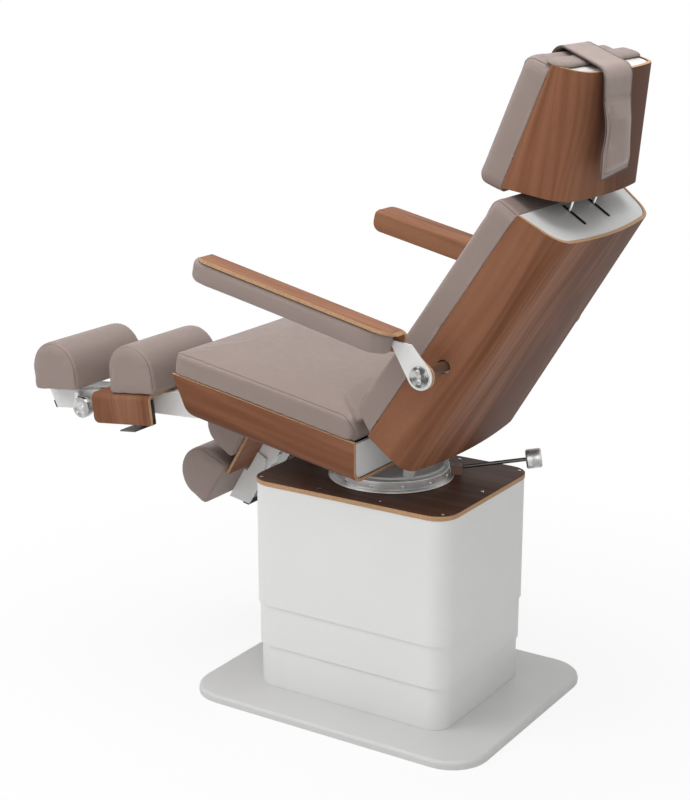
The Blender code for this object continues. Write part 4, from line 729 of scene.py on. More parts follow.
def aim(name, data, place, line):
    """A camera or lamp at a place, pointing along a line."""
    made = bpy.data.objects.new(name, data)
    bpy.context.scene.collection.objects.link(made)
    made.location = place
    made.rotation_euler = Vector(line).to_track_quat("-Z", "Y").to_euler()
    return made


def camera():
    """The photograph's viewing angle."""
    data = assign(bpy.data.cameras.new("camera"), sensor_width=SENSOR, lens=FOCAL_SHARE * SENSOR)
    bpy.context.scene.camera = aim("camera", data, CAMERA_AT, CAMERA_LINE)


def pale(nodes):
    """One where the camera, a reflection or glass sees a surface, and nought where light does."""
    path = nodes.add("LightPath").outputs
    seen = nodes.math("MAXIMUM", path["Is Camera Ray"], path["Is Glossy Ray"])
    return nodes.math("MAXIMUM", seen, path["Is Transmission Ray"])


def stage():
    """A floor that shows white and keeps the part's shadow near it."""
    mesh = bmesh.new()
    bmesh.ops.create_grid(mesh, x_segments=4, y_segments=4, size=14.0)
    floor = stand("floor", mesh)
    floor.location.z = -FLOOR_GAP
    paint = Paint("floor_pale", Base_Color=FLOOR_COLOUR, Roughness=0.9, Specular_IOR_Level=0.1)
    white = paint.span(paint.vector("LENGTH", paint.place()), 0.5, 1.6, 0.86, 1.0)
    glow = paint.add("Emission").outputs[0]
    blend = {0: paint.times(pale(paint), white), 1: paint.shader.outputs[0], 2: glow}
    seen = paint.add("MixShader", blend).outputs[0]
    paint.feed(seen, paint.tree.nodes["Material Output"].inputs["Surface"])
    floor.data.materials.append(paint.made)


def light():
    world = bpy.data.worlds.new("studio")
    bpy.context.scene.world = world
    world.use_nodes = True
    nodes = Nodes(world.node_tree)
    ground = world.node_tree.nodes["Background"].inputs
    ground["Color"].default_value = (1.0, 1.0, 1.0, 1.0)
    nodes.feed(nodes.span(pale(nodes), 0.0, 1.0, AMBIENT, 1.0), ground["Strength"])
    for name, (place, width, watts) in LAMPS.items():
        data = assign(bpy.data.lights.new(name, "AREA"), shape="SQUARE", size=width, energy=watts)
        aim(name, data, place, LAMP_TARGET - Vector(place))
    bpy.context.scene.view_settings.view_transform = "Standard"


# Bent-ply shells

INNER_SHEET = 1.7                  # how far along the veneer the inner faces are cut


def shell(name, outer_ends, inner_ends, body, sheet, rows=14):
    """A bent sheet between two end outlines, with unrolled coordinates for its grain and layers.

    sheet says where in the veneer it is cut from.
    """
    mesh = bmesh.new()
    layer = mesh.loops.layers.uv.new("veneer")
    run = running(outer_ends[0])
    last = len(run) - 1
    long = (outer_ends[1][0] - outer_ends[0][0]).length
    rise = [long * k / rows for k in range(rows + 1)]

    def grid(ends):
        return [[mesh.verts.new(a.lerp(b, k / rows)) for a, b in zip(*ends)] for k in range(rows + 1)]

    def face(corners, spots, index):
        made = mesh.faces.new(corners)
        made.material_index = index
        for loop, spot in zip(made.loops, spots):
            loop[layer].uv = spot

    def rim(k, i, next_k, next_i, start, end):
        corners = (outer[k][i], outer[next_k][next_i], inner[next_k][next_i], inner[k][i])
        face(corners, [(0.0, start), (0.0, end), (PLY, end), (PLY, start)], 1)

    outer = grid(outer_ends)
    inner = grid(inner_ends)
    for k in range(rows):
        for i in range(last):
            cells = [(k, i), (k, i + 1), (k + 1, i + 1), (k + 1, i)]
            spots = [(run[b] + sheet[0], rise[a] + sheet[1]) for a, b in cells]
            face([outer[a][b] for a, b in cells], spots, 0)
            face([inner[a][b] for a, b in cells], [(u + INNER_SHEET, v) for u, v in spots], 0)
        for i in (0, last):
            rim(k, i, k + 1, i, rise[k], rise[k + 1])
    for k in (0, rows):
        for i in range(last):
            rim(k, i, k, i + 1, run[i], run[i + 1])
    return piece(name, mesh, body, [VENEER, PLY_EDGE])


def cut(made, mesh):
    """Takes a shape out of a piece for good."""
    cutter = stand("cutter", mesh)
    cutter.data.materials.append(PLY_EDGE)
    assign(made.modifiers.new("cut", "BOOLEAN"), operation="DIFFERENCE", solver="EXACT", object=cutter)
    bake(made)
    bpy.data.objects.remove(cutter, do_unlink=True)


def tapered_shell(body, space, length, pairs, corner, bulge, sheet):
    """A bent shell; pairs are its lower and upper width, depth, taper and slant of the end."""
    ends = ([], [])
    for share in (0.0, 1.0):
        width, depth, taper, rise = [between(pair, share) for pair in pairs]
        outer = mirrored(channel_path(width / 2, depth, taper, corner, bulge))
        for group, path in zip(ends, (outer, inward(outer, PLY))):
            group.append([space.at(p.x, share * length + rise * p.y, p.y) for p in path])
    return shell(f"{body}_veneer", *ends, body, sheet)


def back_shell():
    pairs = (BACK_WIDTH, BACK_DEPTH, BACK_TAPER, (-BACK_FOOT_CUT, 0.0))
    made = tapered_shell("back", BACK, BACK_LENGTH, pairs, BACK_CORNER, BACK_BULGE, (0.0, 3.1))
    hole = ARM_SHAFT + 0.003
    middle = (-ARM_INNER, *ARM_PIVOT)
    cut(made, turned(middle, ACROSS, [(0.0, hole), (2 * ARM_INNER, hole)], 32))
    soften(made)
    settle(made, "back_shell")


def headrest_shell():
    pairs = (HEAD_WIDTH, HEAD_DEPTH, (HEAD_TAPER, HEAD_TAPER), (HEAD_FOOT_RISE, HEAD_TOP_RISE))
    made = tapered_shell("headrest", HEAD, HEAD_LENGTH, pairs, HEAD_CORNER, HEAD_BULGE, (0.0, 5.3))
    soften(made)
    settle(made, "headrest_shell")


def seat_front(depth):
    """The side wall's front end along the seat, at a depth below its upper edge."""
    turn_under = 0.022
    low = max(0.0, depth - (SEAT_DEPTH - turn_under))
    curve = turn_under - math.sqrt(max(turn_under * turn_under - low * low, 0.0))
    return SEAT_LENGTH - math.tan(math.radians(SEAT_UNDERCUT)) * depth - 0.5 * curve


def seat_shell():
    half = SEAT_WIDTH / 2
    path = rounded(box(-half, half, 0.0, SEAT_DEPTH), [0.0, SEAT_CORNER, SEAT_CORNER, 0.0], 12)
    fine = []
    for first, second in zip(path, path[1:]):
        steps = 12 if (second - first).length > 0.03 else 1
        fine += [first.lerp(second, k / steps) for k in range(steps)]
    fine.append(path[-1])
    lean = math.tan(math.radians(SEAT_TILT))
    ends = []
    for line in (fine, inward(fine, PLY)):
        rear = [SEAT.at(p.x, -lean * p.y, -p.y) for p in line]
        front = [SEAT.at(p.x, seat_front(p.y), -p.y) for p in line]
        ends.append([rear, front])
    made = shell("seat_veneer", *ends, "seat", (0.26, 8.0), rows=16)
    ahead = SEAT_LENGTH + PLY
    slot_corner = 0.012
    for sign in SIDES:
        near = sign * (BEAM_INNER - SLOT_SPARE)
        far = sign * (BEAM_OUTER + SLOT_SPARE)
        corners = [(near, SLOT_START), (far, SLOT_START), (far, ahead), (near, ahead)]
        slot = rounded(corners, [slot_corner, slot_corner, 0.0, 0.0], 4)
        levels = (-SEAT_DEPTH - PLY, -SEAT_DEPTH + 2 * PLY)
        cut(made, closed([[SEAT.at(p.x, p.y, level) for p in slot] for level in levels]))
    soften(made)
    settle(made, "seat_shell")


# Upholstery

SHRINK = 0.002                     # how much smaller a cushion is before it swells
EVEN_CROWN = 0.004                 # the share of a crown that the swelling gives
CROWN_POWER = 2.5                  # the higher, the nearer to the edge a crown falls away
SEAM_LOW = 0.006                   # where a side seam ends above the board
STITCH_IN = 0.004
# The strand along each cushion's foot stands for the gap between leather and board: painted shade.
BASE_SHADE_RADIUS = 0.0017
BASE_SHADE_SINK = 0.0009
BASE_SHADE_RISE = 0.0012
BASE_SHADE_END = 0.012
RAY_START = 0.08                   # how far outside a piece its seams' guides are dropped from
RAY_REACH = 0.3


def pillow_outline(half, start, end, corner, draw, side_steps=10, corner_steps=6):
    """A rounded rectangle as (x, along), its sides drawn in between the corners."""
    corners = rounded(box(-half, half, start, end), corner, corner_steps)
    outline = []
    per_corner = corner_steps + 1
    for k in range(4):
        part = corners[k * per_corner:(k + 1) * per_corner]
        following = corners[((k + 1) * per_corner) % len(corners)]
        outline += part
        run = following - part[-1]
        pull = Vector((-run.y, run.x)).normalized()
        for step in range(1, side_steps):
            t = step / side_steps
            outline.append(part[-1] + run * t + pull * draw * math.sin(math.pi * t))
    return outline


def pillow(space, plan, height, crown, edge, base=FIT, toward=1.0, roll=0.0, aside=0.0, draw=0.002):
    """A cushion's mesh on a frame's face: drawn-in sides, a rounded upper edge and a crown.

    plan is its half width, start, end, corner radius, flare towards the start and lean there.
    """
    half, start, end, corner, flare, lean = plan
    rows = [(0.001, 0.0, 1.0), (0.0, 0.3 * height, 1.0), (0.0, height - edge, 1.0)]
    for step in range(1, 6):
        turn = math.radians(18.0 * step)
        rows.append((edge * (1.0 - math.cos(turn)), height - edge + edge * math.sin(turn), 1.0))
    rows += [(edge, height, scale) for scale in (0.86, 0.7, 0.52, 0.34, 0.17, 0.05)]
    middle = Vector((0.0, (start + end) / 2.0))
    rings = []
    for inside, rise, scale in rows:
        ring = []
        corner_left = max(corner - inside, 0.002)
        for point in pillow_outline(half - inside, start + inside, end - inside, corner_left, draw):
            spot = middle + (point - middle) * scale
            wide = min(1.0, abs(spot.x) / half)
            long = min(1.0, abs(spot.y - middle.y) / (end - middle.y))
            lift = rise + crown * (1.0 - wide ** CROWN_POWER) * (1.0 - long ** CROWN_POWER)
            if roll and spot.y < start + roll:
                ahead = start + roll - spot.y
                drop = roll - math.sqrt(max(roll * roll - ahead * ahead, 0.0))
                lift = min(lift, height + crown - drop)
            share = max(0.0, 1.0 - (spot.y - start) / (0.4 * (end - start)))
            x = aside + spot.x * (1.0 + flare * (middle.y - spot.y) / (end - start))
            ring.append(space.at(x, spot.y + lean * rise * share, toward * (base + lift)))
        rings.append(ring)
    return closed(rings)


def refine(made):
    assign(made.modifiers.new("finer", "SUBSURF"), levels=1, render_levels=1)


def swell(made, held, cap, voxel=0.005, pressure=4.0, frames=20):
    """Remeshes a cushion, blows it up a little as cloth, and adds one subdivision.

    held says how firmly the sewing and the board hold a point, from 0 to 1, and cap is the
    furthest that a point may move.
    """
    assign(made.modifiers.new("remesh", "REMESH"), mode="VOXEL", voxel_size=voxel)
    bake(made)
    start = [v.co.copy() for v in made.data.vertices]
    pins = made.vertex_groups.new(name="pins")
    for vertex in made.data.vertices:
        pins.add([vertex.index], held(vertex.co), "REPLACE")
    cloth = made.modifiers.new("cloth", "CLOTH")
    assign(cloth.settings, quality=4, mass=0.3, use_pressure=True, uniform_pressure_force=pressure,
           vertex_group_mass="pins")
    cloth.settings.effector_weights.gravity = 0.0
    cloth.collision_settings.use_collision = False
    assign(cloth.point_cache, frame_start=1, frame_end=frames)
    for step in range(1, frames + 1):
        bpy.context.scene.frame_set(step)
    bake(made)
    bpy.context.scene.frame_set(1)
    made.vertex_groups.clear()
    for vertex, before in zip(made.data.vertices, start):
        move = vertex.co - before
        if move.length > cap:
            vertex.co = before + move * (cap / move.length)
    assign(made.modifiers.new("even", "SMOOTH"), factor=0.5, iterations=3)
    refine(made)
    bake(made)
    made.data.shade_smooth()


def reshape(made, moved):
    """Moves a piece's points; moved gives a new place from a point and its normal."""
    spots = [(vertex.co.copy(), vertex.normal.copy()) for vertex in made.data.vertices]
    flat = [part for point, normal in spots for part in moved(point, normal)]
    made.data.vertices.foreach_set("co", flat)
    made.data.update()


def laid(made, guide, line):
    """A guide dropped on a piece along a direction, each point with the surface's normal."""
    data = made.data
    tree = BVHTree.FromPolygons([v.co for v in data.vertices], [p.vertices for p in data.polygons])
    found = []
    for point in dense(guide):
        way = line(point) if callable(line) else line
        spot, normal, _, _ = tree.ray_cast(point - RAY_START * way, way, RAY_REACH)
        if spot:
            found.append((spot, normal if normal.dot(way) < 0.0 else -normal))
    return found


def tube(line, radius, sides=8, sink=0.0, mesh=None):
    """A closed round strand along a line of (point, normal) pairs, in a mesh or a new one."""
    spots = [spot for spot, _ in line]
    rings = []
    for i, (spot, normal) in enumerate(line):
        run = heading(spots, i).normalized()
        side = run.cross(normal).normalized()
        lift = side.cross(run)
        middle = spot - normal * sink
        rings.append([middle + radius * (p.x * side + p.y * lift) for p in circle(sides)])
    return closed(rings, mesh)


def strand(name, line, body, paint, radius, sink):
    settle(piece(name, tube(line, radius, 8, sink), body, [paint]))


def stitches(name, line, body, pitch=0.0052, length=0.0036, radius=0.00048):
    """A row of sewn stitches: short strands that dip at both ends."""
    mesh = bmesh.new()
    run = running([spot for spot, _ in line])

    def spot(distance):
        distance = min(max(distance, 0.0), run[-1])
        for i in range(len(run) - 1):
            if run[i + 1] >= distance:
                t = (distance - run[i]) / max(run[i + 1] - run[i], 1e-9)
                place, normal = [a.lerp(b, t) for a, b in zip(line[i], line[i + 1])]
                return place, normal.normalized()
        return line[-1]

    for k in range(int(run[-1] / pitch)):
        begin = k * pitch + 0.5 * (pitch - length)
        sewing = []
        for t in (0.0, 0.2, 0.5, 0.8, 1.0):
            place, normal = spot(begin + t * length)
            sewing.append((place + normal * radius * (1.1 * math.sin(math.pi * t) - 0.6), normal))
        tube(sewing, radius, 6, mesh=mesh)
    settle(piece(name, mesh, body, [STITCH]))


def groove(made, line, width=0.0055, depth=0.0016):
    """Presses a sewn line into a cushion."""
    tree = KDTree(len(line))
    for i, (spot, _) in enumerate(line):
        tree.insert(spot, i)
    tree.balance()

    def pressed(point, normal):
        distance = tree.find(point)[2]
        if distance < width:
            point -= normal * depth * (1.0 - (distance / width) ** 2) ** 2
        return point

    reshape(made, pressed)


def sewn(made, name, guide, line, row=None, welt=0.0011):
    """A seam on a cushion: a pressed line with a welt in it, and a row of stitches if asked."""
    groove(made, laid(made, guide, line))
    strand(f"{name}_seam_0", laid(made, guide, line), made["body"], SHADED_WELT, welt, 0.35 * welt)
    if row:
        stitches(f"{name}_stitches_0", laid(made, row, line), made["body"])


def press_foot(made, space, toward, plan, band=0.009, reach=0.010):
    """Squares off a cushion's lower edge, so that it lies flat on what carries it."""
    half, start, end, corner, flare, lean = plan
    middle = (start + end) / 2
    long = (end - start) / 2

    def squared(point, _):
        spot = space.local(point)
        height = toward * spot.z
        if height >= band:
            return point
        share = max(0.0, 1.0 - (spot.y - start) / (0.8 * long))
        wide = 1.0 + flare * (middle - spot.y) / (2 * long)
        x = spot.x / wide
        along = spot.y - lean * height * share - middle
        past = Vector((abs(x) - half + corner, abs(along) - long + corner))
        out = Vector((max(past.x, 0.0), max(past.y, 0.0)))
        depth = corner - out.length - min(max(past.x, past.y), 0.0)
        if out.length == 0.0:
            out = Vector((1.0, 0.0)) if past.x > past.y else Vector((0.0, 1.0))
        if 0.0 < depth < reach:
            out = out.normalized() * (depth - depth * depth / reach)
            out *= 1.0 - (max(height, 0.0) / band) ** 2
            point += Vector((math.copysign(out.x, x) * wide, 0.0, 0.0))
            point += space.along * math.copysign(out.y, along)
        return point

    reshape(made, squared)


def board_hold(space, toward, base=0.0, over=0.006):
    """Points near the board are held."""
    def held(point):
        height = toward * space.local(point).z - base
        return 1.0 if height < over else 0.0
    return held


def box_cushion(body, space, toward, plan, height, crown, edge, seam, bends, steps, panel, cap,
                roll=0.0):
    """A cushion with side panels sewn in along a seam that rounds two corners.

    seam is how far in from the start, the end and the top it runs, bends its two radii, and
    panel how far below the top the panels are held.
    """
    half, start, end, _, _, lean = plan
    name = f"{body}_cushion_leather"
    mesh = pillow(space, plan, height - SHRINK, crown - EVEN_CROWN, edge, toward=toward, roll=roll)
    made = piece(name, mesh, body, [LEATHER])
    swell(made, board_hold(space, toward, 0.0, height - panel), cap)
    press_foot(made, space, toward, plan)
    first, last, top = start + seam[0], end - seam[1], height - seam[2]
    corners = [(first + lean * rise, rise) for rise in (SEAM_LOW, top)] + [(last, top), (last, SEAM_LOW)]
    profile = rounded(corners, [0.0, *bends, 0.0], steps)
    foot = [(start + BASE_SHADE_END, BASE_SHADE_RISE), (end - BASE_SHADE_END, BASE_SHADE_RISE)]

    def beside(sign, line):
        return [space.at(sign * half, along, toward * rise) for along, rise in line]

    for sign, side in SIDES.items():
        inside = -sign * ACROSS
        row = beside(sign, inset(profile, STITCH_IN))
        sewn(made, f"{name}_{side}", beside(sign, profile), inside, row)
        # A dark strand along the foot of each side: painted shade where the cushion meets the board.
        line = laid(made, beside(sign, foot), inside)
        strand(f"{name}_base_shade_{side}", line, body, SHADE_AND_BINDING, BASE_SHADE_RADIUS, BASE_SHADE_SINK)
    settle(made, f"{body}_cushion")


def flared(widths):
    """Half of a tapered cushion's middle width, and its flare."""
    half = (widths[0] + widths[1]) / 4 - 0.0005
    return half, (widths[0] - widths[1]) / (2 * half)


def cushions():
    plan = (SEAT_WIDTH / 2 - 0.001, 0.005, SEAT_LENGTH + 0.004, 0.022, 0.0, 0.0)
    box_cushion("seat", SEAT, 1.0, plan, SEAT_CUSHION, SEAT_CROWN, edge=0.010, steps=10, panel=0.009,
                seam=(0.004, 0.004, 0.006), bends=(SEAT_REAR_ROLL - 0.004, 0.012), cap=0.006,
                roll=SEAT_REAR_ROLL)
    half, flare = flared(BACK_WIDTH)
    plan = (half, -0.005, BACK_LENGTH - 0.001, 0.024, flare, BACK_CUSHION_LEAN)
    box_cushion("back", BACK, -1.0, plan, BACK_CUSHION, BACK_CROWN, edge=0.016, steps=8, panel=0.012,
                seam=(0.006, 0.005, 0.005), bends=(0.016, 0.016), cap=0.006)
    half, flare = flared(HEAD_WIDTH)
    plan = (half, -HEAD_CUSHION_DROP, HEAD_LENGTH - 0.001, 0.026, flare, 0.0)
    box_cushion("headrest", HEAD, -1.0, plan, HEAD_CUSHION, HEAD_CROWN, edge=HEAD_CUSHION_EDGE - 0.004,
                steps=8, panel=0.016, seam=(0.006, 0.006, 0.006), bends=(0.022, 0.022), cap=0.0035)


def headrest_bead():
    """The cushion's rolled upper edge, which lies over the front of the top plate."""
    half = HEAD_WIDTH[1] / 2 - 0.001
    middle, reach = 0.006, 0.024
    strap_at, strap_half, strap_ease = 0.010, 0.075, 0.04
    low, high = 0.0066, 0.0088
    end_tall, end_run = 0.35, 0.016
    stations = 48
    rings = []
    for k in range(stations + 1):
        x = half * (1.0 - 2.0 * k / stations)
        end = min(1.0, end_tall + math.sqrt(max(half - abs(x), 0.0) / end_run))
        free = unit((abs(x - strap_at) - strap_half) / strap_ease)
        tall = end * (low + (high - low) * free * free * (3.0 - 2.0 * free))
        ring = []
        for p in circle(24):
            square = middle + reach * end * p.x
            base = HEAD_LENGTH + HEAD_TOP_RISE * max(square, 0.0) + 2 * FIT
            ring.append(HEAD.at(x, base + tall * max(p.y, 0.0) ** 0.8, square))
        rings.append(ring)
    made = piece("headrest_bead_leather", closed(rings), "headrest", [LEATHER], sharp=70.0)
    settle(made)


def neck_roll():
    top = HEAD_LENGTH - STRAP_FRONT - FIT
    low = top - NECK_HEIGHT
    base = HEAD_CUSHION + HEAD_CROWN
    seam_in = 0.006
    plan = (NECK_WIDTH / 2 - SHRINK, low + SHRINK, top - SHRINK, 0.026, 0.0, 0.0)
    mesh = pillow(HEAD, plan, NECK_THICK - SHRINK, crown=0.004, edge=0.012, base=base, toward=-1.0,
                  aside=STRAP_FRONT_SIDE)
    made = piece("neck_roll_leather", mesh, "headrest", [LEATHER])
    swell(made, board_hold(HEAD, -1.0, base, over=0.004), cap=0.004)
    ring = pillow_outline(NECK_WIDTH / 2 - seam_in, low + seam_in, top - seam_in, 0.022, 0.0)
    guide = [HEAD.at(STRAP_FRONT_SIDE + p.x, p.y, -base - NECK_THICK) for p in ring]
    sewn(made, "neck_roll", guide + guide[:1], HEAD.square)
    settle(made, "neck_roll")


def roll_section(scale):
    """A leg roll's section as (along, height): flat below, straight sides, round above."""
    half = ROLL_WIDTH / 2
    dome = ROLL_HEIGHT - half
    chamfer_in, chamfer_up = 0.006, 0.008
    points = [(-half + chamfer_in, 0.0), (half - chamfer_in, 0.0), (half, chamfer_up)]
    steps = 22
    for k in range(steps + 1):
        turn = math.pi * k / steps
        points.append((half * math.cos(turn), dome + half * math.sin(turn)))
    points.append((-half, chamfer_up))
    middle = Vector((0.0, ROLL_HEIGHT / 2))
    return [middle + (Vector(p) - middle) * scale for p in points]


def roll(kind, sign, body, along, base):
    """A half-round leg roll: a wrapped panel and a sewn-in panel at each end."""
    space = LEGS[sign]
    side = SIDES[sign]
    name = f"{kind}_roll_leather_{side}"
    length = ROLL_OUTER - ROLL_INNER - 2 * SHRINK
    full = 0.982
    stations = [(0.0, 0.925), (0.002, 0.955), (0.006, 0.974), (0.012, full)]
    stations += [(share * length, full) for share in (0.2, 0.4, 0.6, 0.8)]
    stations += [(length - reach, scale) for reach, scale in stations[3::-1]]
    rings = []
    for reach, scale in stations:
        lift = ROLL_HEIGHT / 2 * (scale - 1.0)
        x = sign * (ROLL_INNER + SHRINK + reach)
        rings.append([space.at(x, along + p.x, base + p.y + lift) for p in roll_section(scale)])
    made = piece(name, closed(rings), f"{body}_{side}", [LEATHER])
    swell(made, board_hold(space, 1.0, base), cap=0.0035)
    middle = space.at(0.0, along, base + 0.4 * ROLL_HEIGHT)

    def towards_middle(point):
        line = middle - point
        line.x = 0.0
        return line.normalized()

    def arch(x):
        return [space.at(sign * x, along + p.x, base + p.y) for p in roll_section(0.985)[2:]]

    seam_in, stitch_in = 0.006, 0.0045
    for end, x, way in (("outer", ROLL_OUTER - seam_in, -1.0), ("inner", ROLL_INNER + seam_in, 1.0)):
        sewn(made, f"{name}_{end}", arch(x), towards_middle, arch(x + way * stitch_in))
    settle(made, f"{kind}_roll_{side}")


def arm_pad(sign):
    """The padded block under the arm's top board, rounded at both ends."""
    side = SIDES[sign]
    inner = ARM_INNER + PLY + ARM_BRACKET + 2 * FIT
    outer = ARM_INNER + ARM_WIDTH - 0.001
    top = ARM_TOP - PLY - FIT
    length = ARM_REACH + ARM_PAD_AHEAD - ARM_PAD_REAR
    shrink_side, shrink_top, hold = 0.0008, 0.0006, 0.006
    rear = [(0.0, 0.30, 0.90), (0.004, 0.50, 0.93), (0.010, 0.66, 0.96), (0.030, 0.93, 1.0)]
    front = [(0.040, 1.0, 1.0), (0.018, 0.96, 0.97), (0.006, 0.84, 0.90), (0.0, 0.62, 0.78)]
    full = [0.055] + [share * length for share in (0.25, 0.45, 0.65, 0.8)]
    stations = rear + [(along, 1.0, 1.0) for along in full]
    stations += [(length - back, wide, tall) for back, wide, tall in front]
    rings = []
    for along, wide, tall in stations:
        half = (outer - inner) * wide / 2 - shrink_side
        high = ARM_PAD_HEIGHT * tall / 2
        rise = high - shrink_top
        shape = rounded(box(-half, half, -rise, rise), min(0.010, 0.9 * half, 0.9 * high))
        middle = inner + half + shrink_side
        level = top - high - shrink_top
        rings.append([ARM.at(sign * (middle + p.x), ARM_PAD_REAR + along, level + p.y) for p in shape])
    made = piece(f"arm_pad_leather_{side}", closed(rings), f"arm_{side}", [LEATHER])

    def held(point):
        spot = ARM.local(point)
        return 1.0 if spot.z > top - hold or abs(spot.x) < inner + hold else 0.0

    swell(made, held, cap=0.002, voxel=0.004)
    settle(made, f"arm_pad_{side}")


# Headrest strap

STRAP_SEWN = STRAP_WIDTH - 0.010   # the strap's width as shown
STRAP_CLEAR = STRAP_THICK + 0.0060  # its height over the shell's upper edge
STRAP_BEND = 0.030
STRAP_SHIFT = 0.010
HANG_STEPS = 40
HANG_WAIST = 0.05                  # how much the hanging end narrows, as a share of its width
HANG_SKEW = 0.006                  # how far its hem slants
STRAP_COLUMNS = 30
POUCH_START = 0.20                 # these three are shares of the hanging end
POUCH_CREASE = 0.175
POUCH_HEM = 0.968
# Radii of the strap's dark strands: on its edges they are a binding, and along its pressed lines they are
# painted shade.
EDGE_BINDING = 0.0016
SEAM_SHADE_LINE = 0.0011
BINDING_SINK = 0.0007


def strap_path():
    """The strap's middle line over the headrest as (along, square) points, front to rear."""
    clear = 2 * FIT + STRAP_THICK / 2
    middle = (HEAD_LENGTH - HEAD_CUSHION_DROP) / 2
    front = []
    for share in (1.0, 0.8, 0.6, 0.4):
        along = HEAD_LENGTH - share * STRAP_FRONT
        crown = HEAD_CROWN * (1.0 - (abs(along - middle) / (HEAD_LENGTH - middle)) ** CROWN_POWER)
        front.append(Vector((along, -(HEAD_CUSHION + crown + clear))))
    brow = Vector((HEAD_LENGTH + clear, -(HEAD_CUSHION + clear)))
    rear = HEAD_DEPTH[1] + HEAD_BULGE
    crest = Vector((HEAD_LENGTH + HEAD_TOP_RISE * rear + STRAP_CLEAR, rear + STRAP_CLEAR))
    turn = math.radians(HEAD_LEAN)
    down = Vector((-math.cos(turn), math.sin(turn)))
    radii = [0.0] * len(front) + [HEAD_CUSHION_EDGE + clear, STRAP_BEND, 0.0]
    return rounded(front + [brow, crest, crest + STRAP_DROP * down], radii, 10)


def bell(distance, width):
    return math.exp(-(distance / width) ** 2)


def strap_lifts(share, wide):
    """How far the strap's outer and inner faces stand off its middle line.

    share runs down the hanging end from 0 to 1, and wide across the strap from -1 to 1.
    """
    rim_thin, rim_run = 0.55, 0.006
    seam_in, seam_deep, seam_wide = 0.0075, 0.0016, 0.0022
    crease_wide, hem_deep, hem_wide = 0.014, 0.0009, 0.008
    fill_run, fill_end, fill_fade, fill_round = 0.2, 0.965, 0.10, 0.55
    gape_start, gape_long = 0.24, 0.50
    lip_at, lip_run, lip_high = 0.70, 0.11, 0.0060
    dent_at, dent_wide, dent_deep = 0.60, 0.20, 0.0110
    outer_fill, inner_fill = 1.9, 0.3
    edge = STRAP_SEWN / 2 * (1.0 - abs(wide))
    thick = STRAP_THICK / 2 * min(1.0, rim_thin + edge / rim_run)
    pressed = seam_deep * bell(edge - seam_in, seam_wide)
    filled = unit((share - POUCH_START) / fill_run) * unit((fill_end - share) / fill_fade)
    pouch = filled * max(0.0, 1.0 - wide ** 2) ** fill_round * (POUCH_THICK - STRAP_THICK) / 2
    pressed += seam_deep * bell(share - POUCH_CREASE, crease_wide) if abs(wide) < 0.9 else 0.0
    pressed += hem_deep * bell(share - POUCH_HEM, hem_wide)
    gape = math.sin(math.pi * unit((share - gape_start) / gape_long))
    lip = lip_high * gape * unit((wide - lip_at) / lip_run)
    dent = dent_deep * gape * bell(wide - dent_at, dent_wide)
    return lip + thick + outer_fill * pouch - pressed - dent, lip - thick - inner_fill * pouch


def strap_rows():
    """Rows of points across the strap's outer and inner faces, and the row where it hangs free."""
    path = strap_path()
    bend, end = path[-2:]
    path = dense(path[:-1], 0.006)
    hung = len(path) - 1
    path += [bend + (end - bend) * k / HANG_STEPS for k in range(1, HANG_STEPS + 1)]
    front = path[0].y
    outer, inner = [], []
    for i, point in enumerate(path):
        run = heading(path, i).normalized()
        share = max(0.0, (i - hung) / HANG_STEPS)
        over = unit((point.y - front) / (bend.y - front))
        side = STRAP_FRONT_SIDE + over * (STRAP_HANG_SIDE + STRAP_SHIFT - STRAP_FRONT_SIDE)
        rows = ([], [])
        for k in range(STRAP_COLUMNS + 1):
            wide = 2.0 * k / STRAP_COLUMNS - 1.0
            x = side + wide * STRAP_SEWN / 2 * (1.0 - HANG_WAIST * math.sin(math.pi * share) * abs(wide))
            spot = point + run * (HANG_SKEW * share ** 6 * wide)
            for row, lift in zip(rows, strap_lifts(share, wide)):
                row.append(HEAD.at(x, spot.x + lift * run.y, spot.y - lift * run.x))
        outer.append(rows[0])
        inner.append(rows[1])
    return outer, inner, hung


def headrest_strap():
    """A leather band with stitched, bound edges and a filled pouch at its hanging end."""
    outer, inner, hung = strap_rows()
    mesh = bmesh.new()
    rows = [[mesh.verts.new(p) for p in front + back[::-1]] for front, back in zip(outer, inner)]
    bridge(mesh, rows)
    half = len(outer[0])
    for row in (rows[0], rows[-1]):
        for k in range(half - 1):
            mesh.faces.new((row[k], row[k + 1], row[2 * half - 2 - k], row[2 * half - 1 - k]))
    made = piece("strap_leather", mesh, "headrest", [STRAP_LEATHER_PAINTED_LIGHT], sharp=60.0)
    refine(made)
    settle(made, "headrest_strap")

    def line(cells):
        found = []
        for i, k in cells:
            normal = heading([row[k] for row in outer], i).cross(heading(outer[i], k)).normalized()
            inside = inner[i][k] - outer[i][k]
            found.append((outer[i][k], -normal if normal.dot(inside) > 0.0 else normal))
        return found

    last = len(outer) - 1
    start = hung + round(POUCH_START * HANG_STEPS)
    crease = hung + round(POUCH_CREASE * HANG_STEPS)
    within = range(2, half - 2)
    sewing = [[(i, k) for i in range(last)] for k in (1, half - 2)]
    sewing += [[(last - 1, k) for k in range(1, half - 1)], [(start, k) for k in within]]
    for n, cells in enumerate(sewing):
        stitches(f"strap_stitches_{n}", line(cells), "headrest")
    # The strands on the strap's edges and end are a binding; those in the pressed seams beside the edges,
    # at the hem and at the crease are painted shade.
    bound = [[(i, k) for i in range(last + 1)] for k in (0, 2, half - 3, half - 1)]
    bound += [[(last, k) for k in range(half)], [(last - 2, k) for k in within]]
    bound += [[(crease, k) for k in range(half)]]
    for n, cells in enumerate(bound):
        on_edge = cells[0] in ((0, 0), (0, half - 1))
        radius = EDGE_BINDING if on_edge else SEAM_SHADE_LINE
        strand(f"strap_binding_and_shade_{n}", line(cells), "headrest", SHADE_AND_BINDING, radius, BINDING_SINK)


# Metalwork and boards

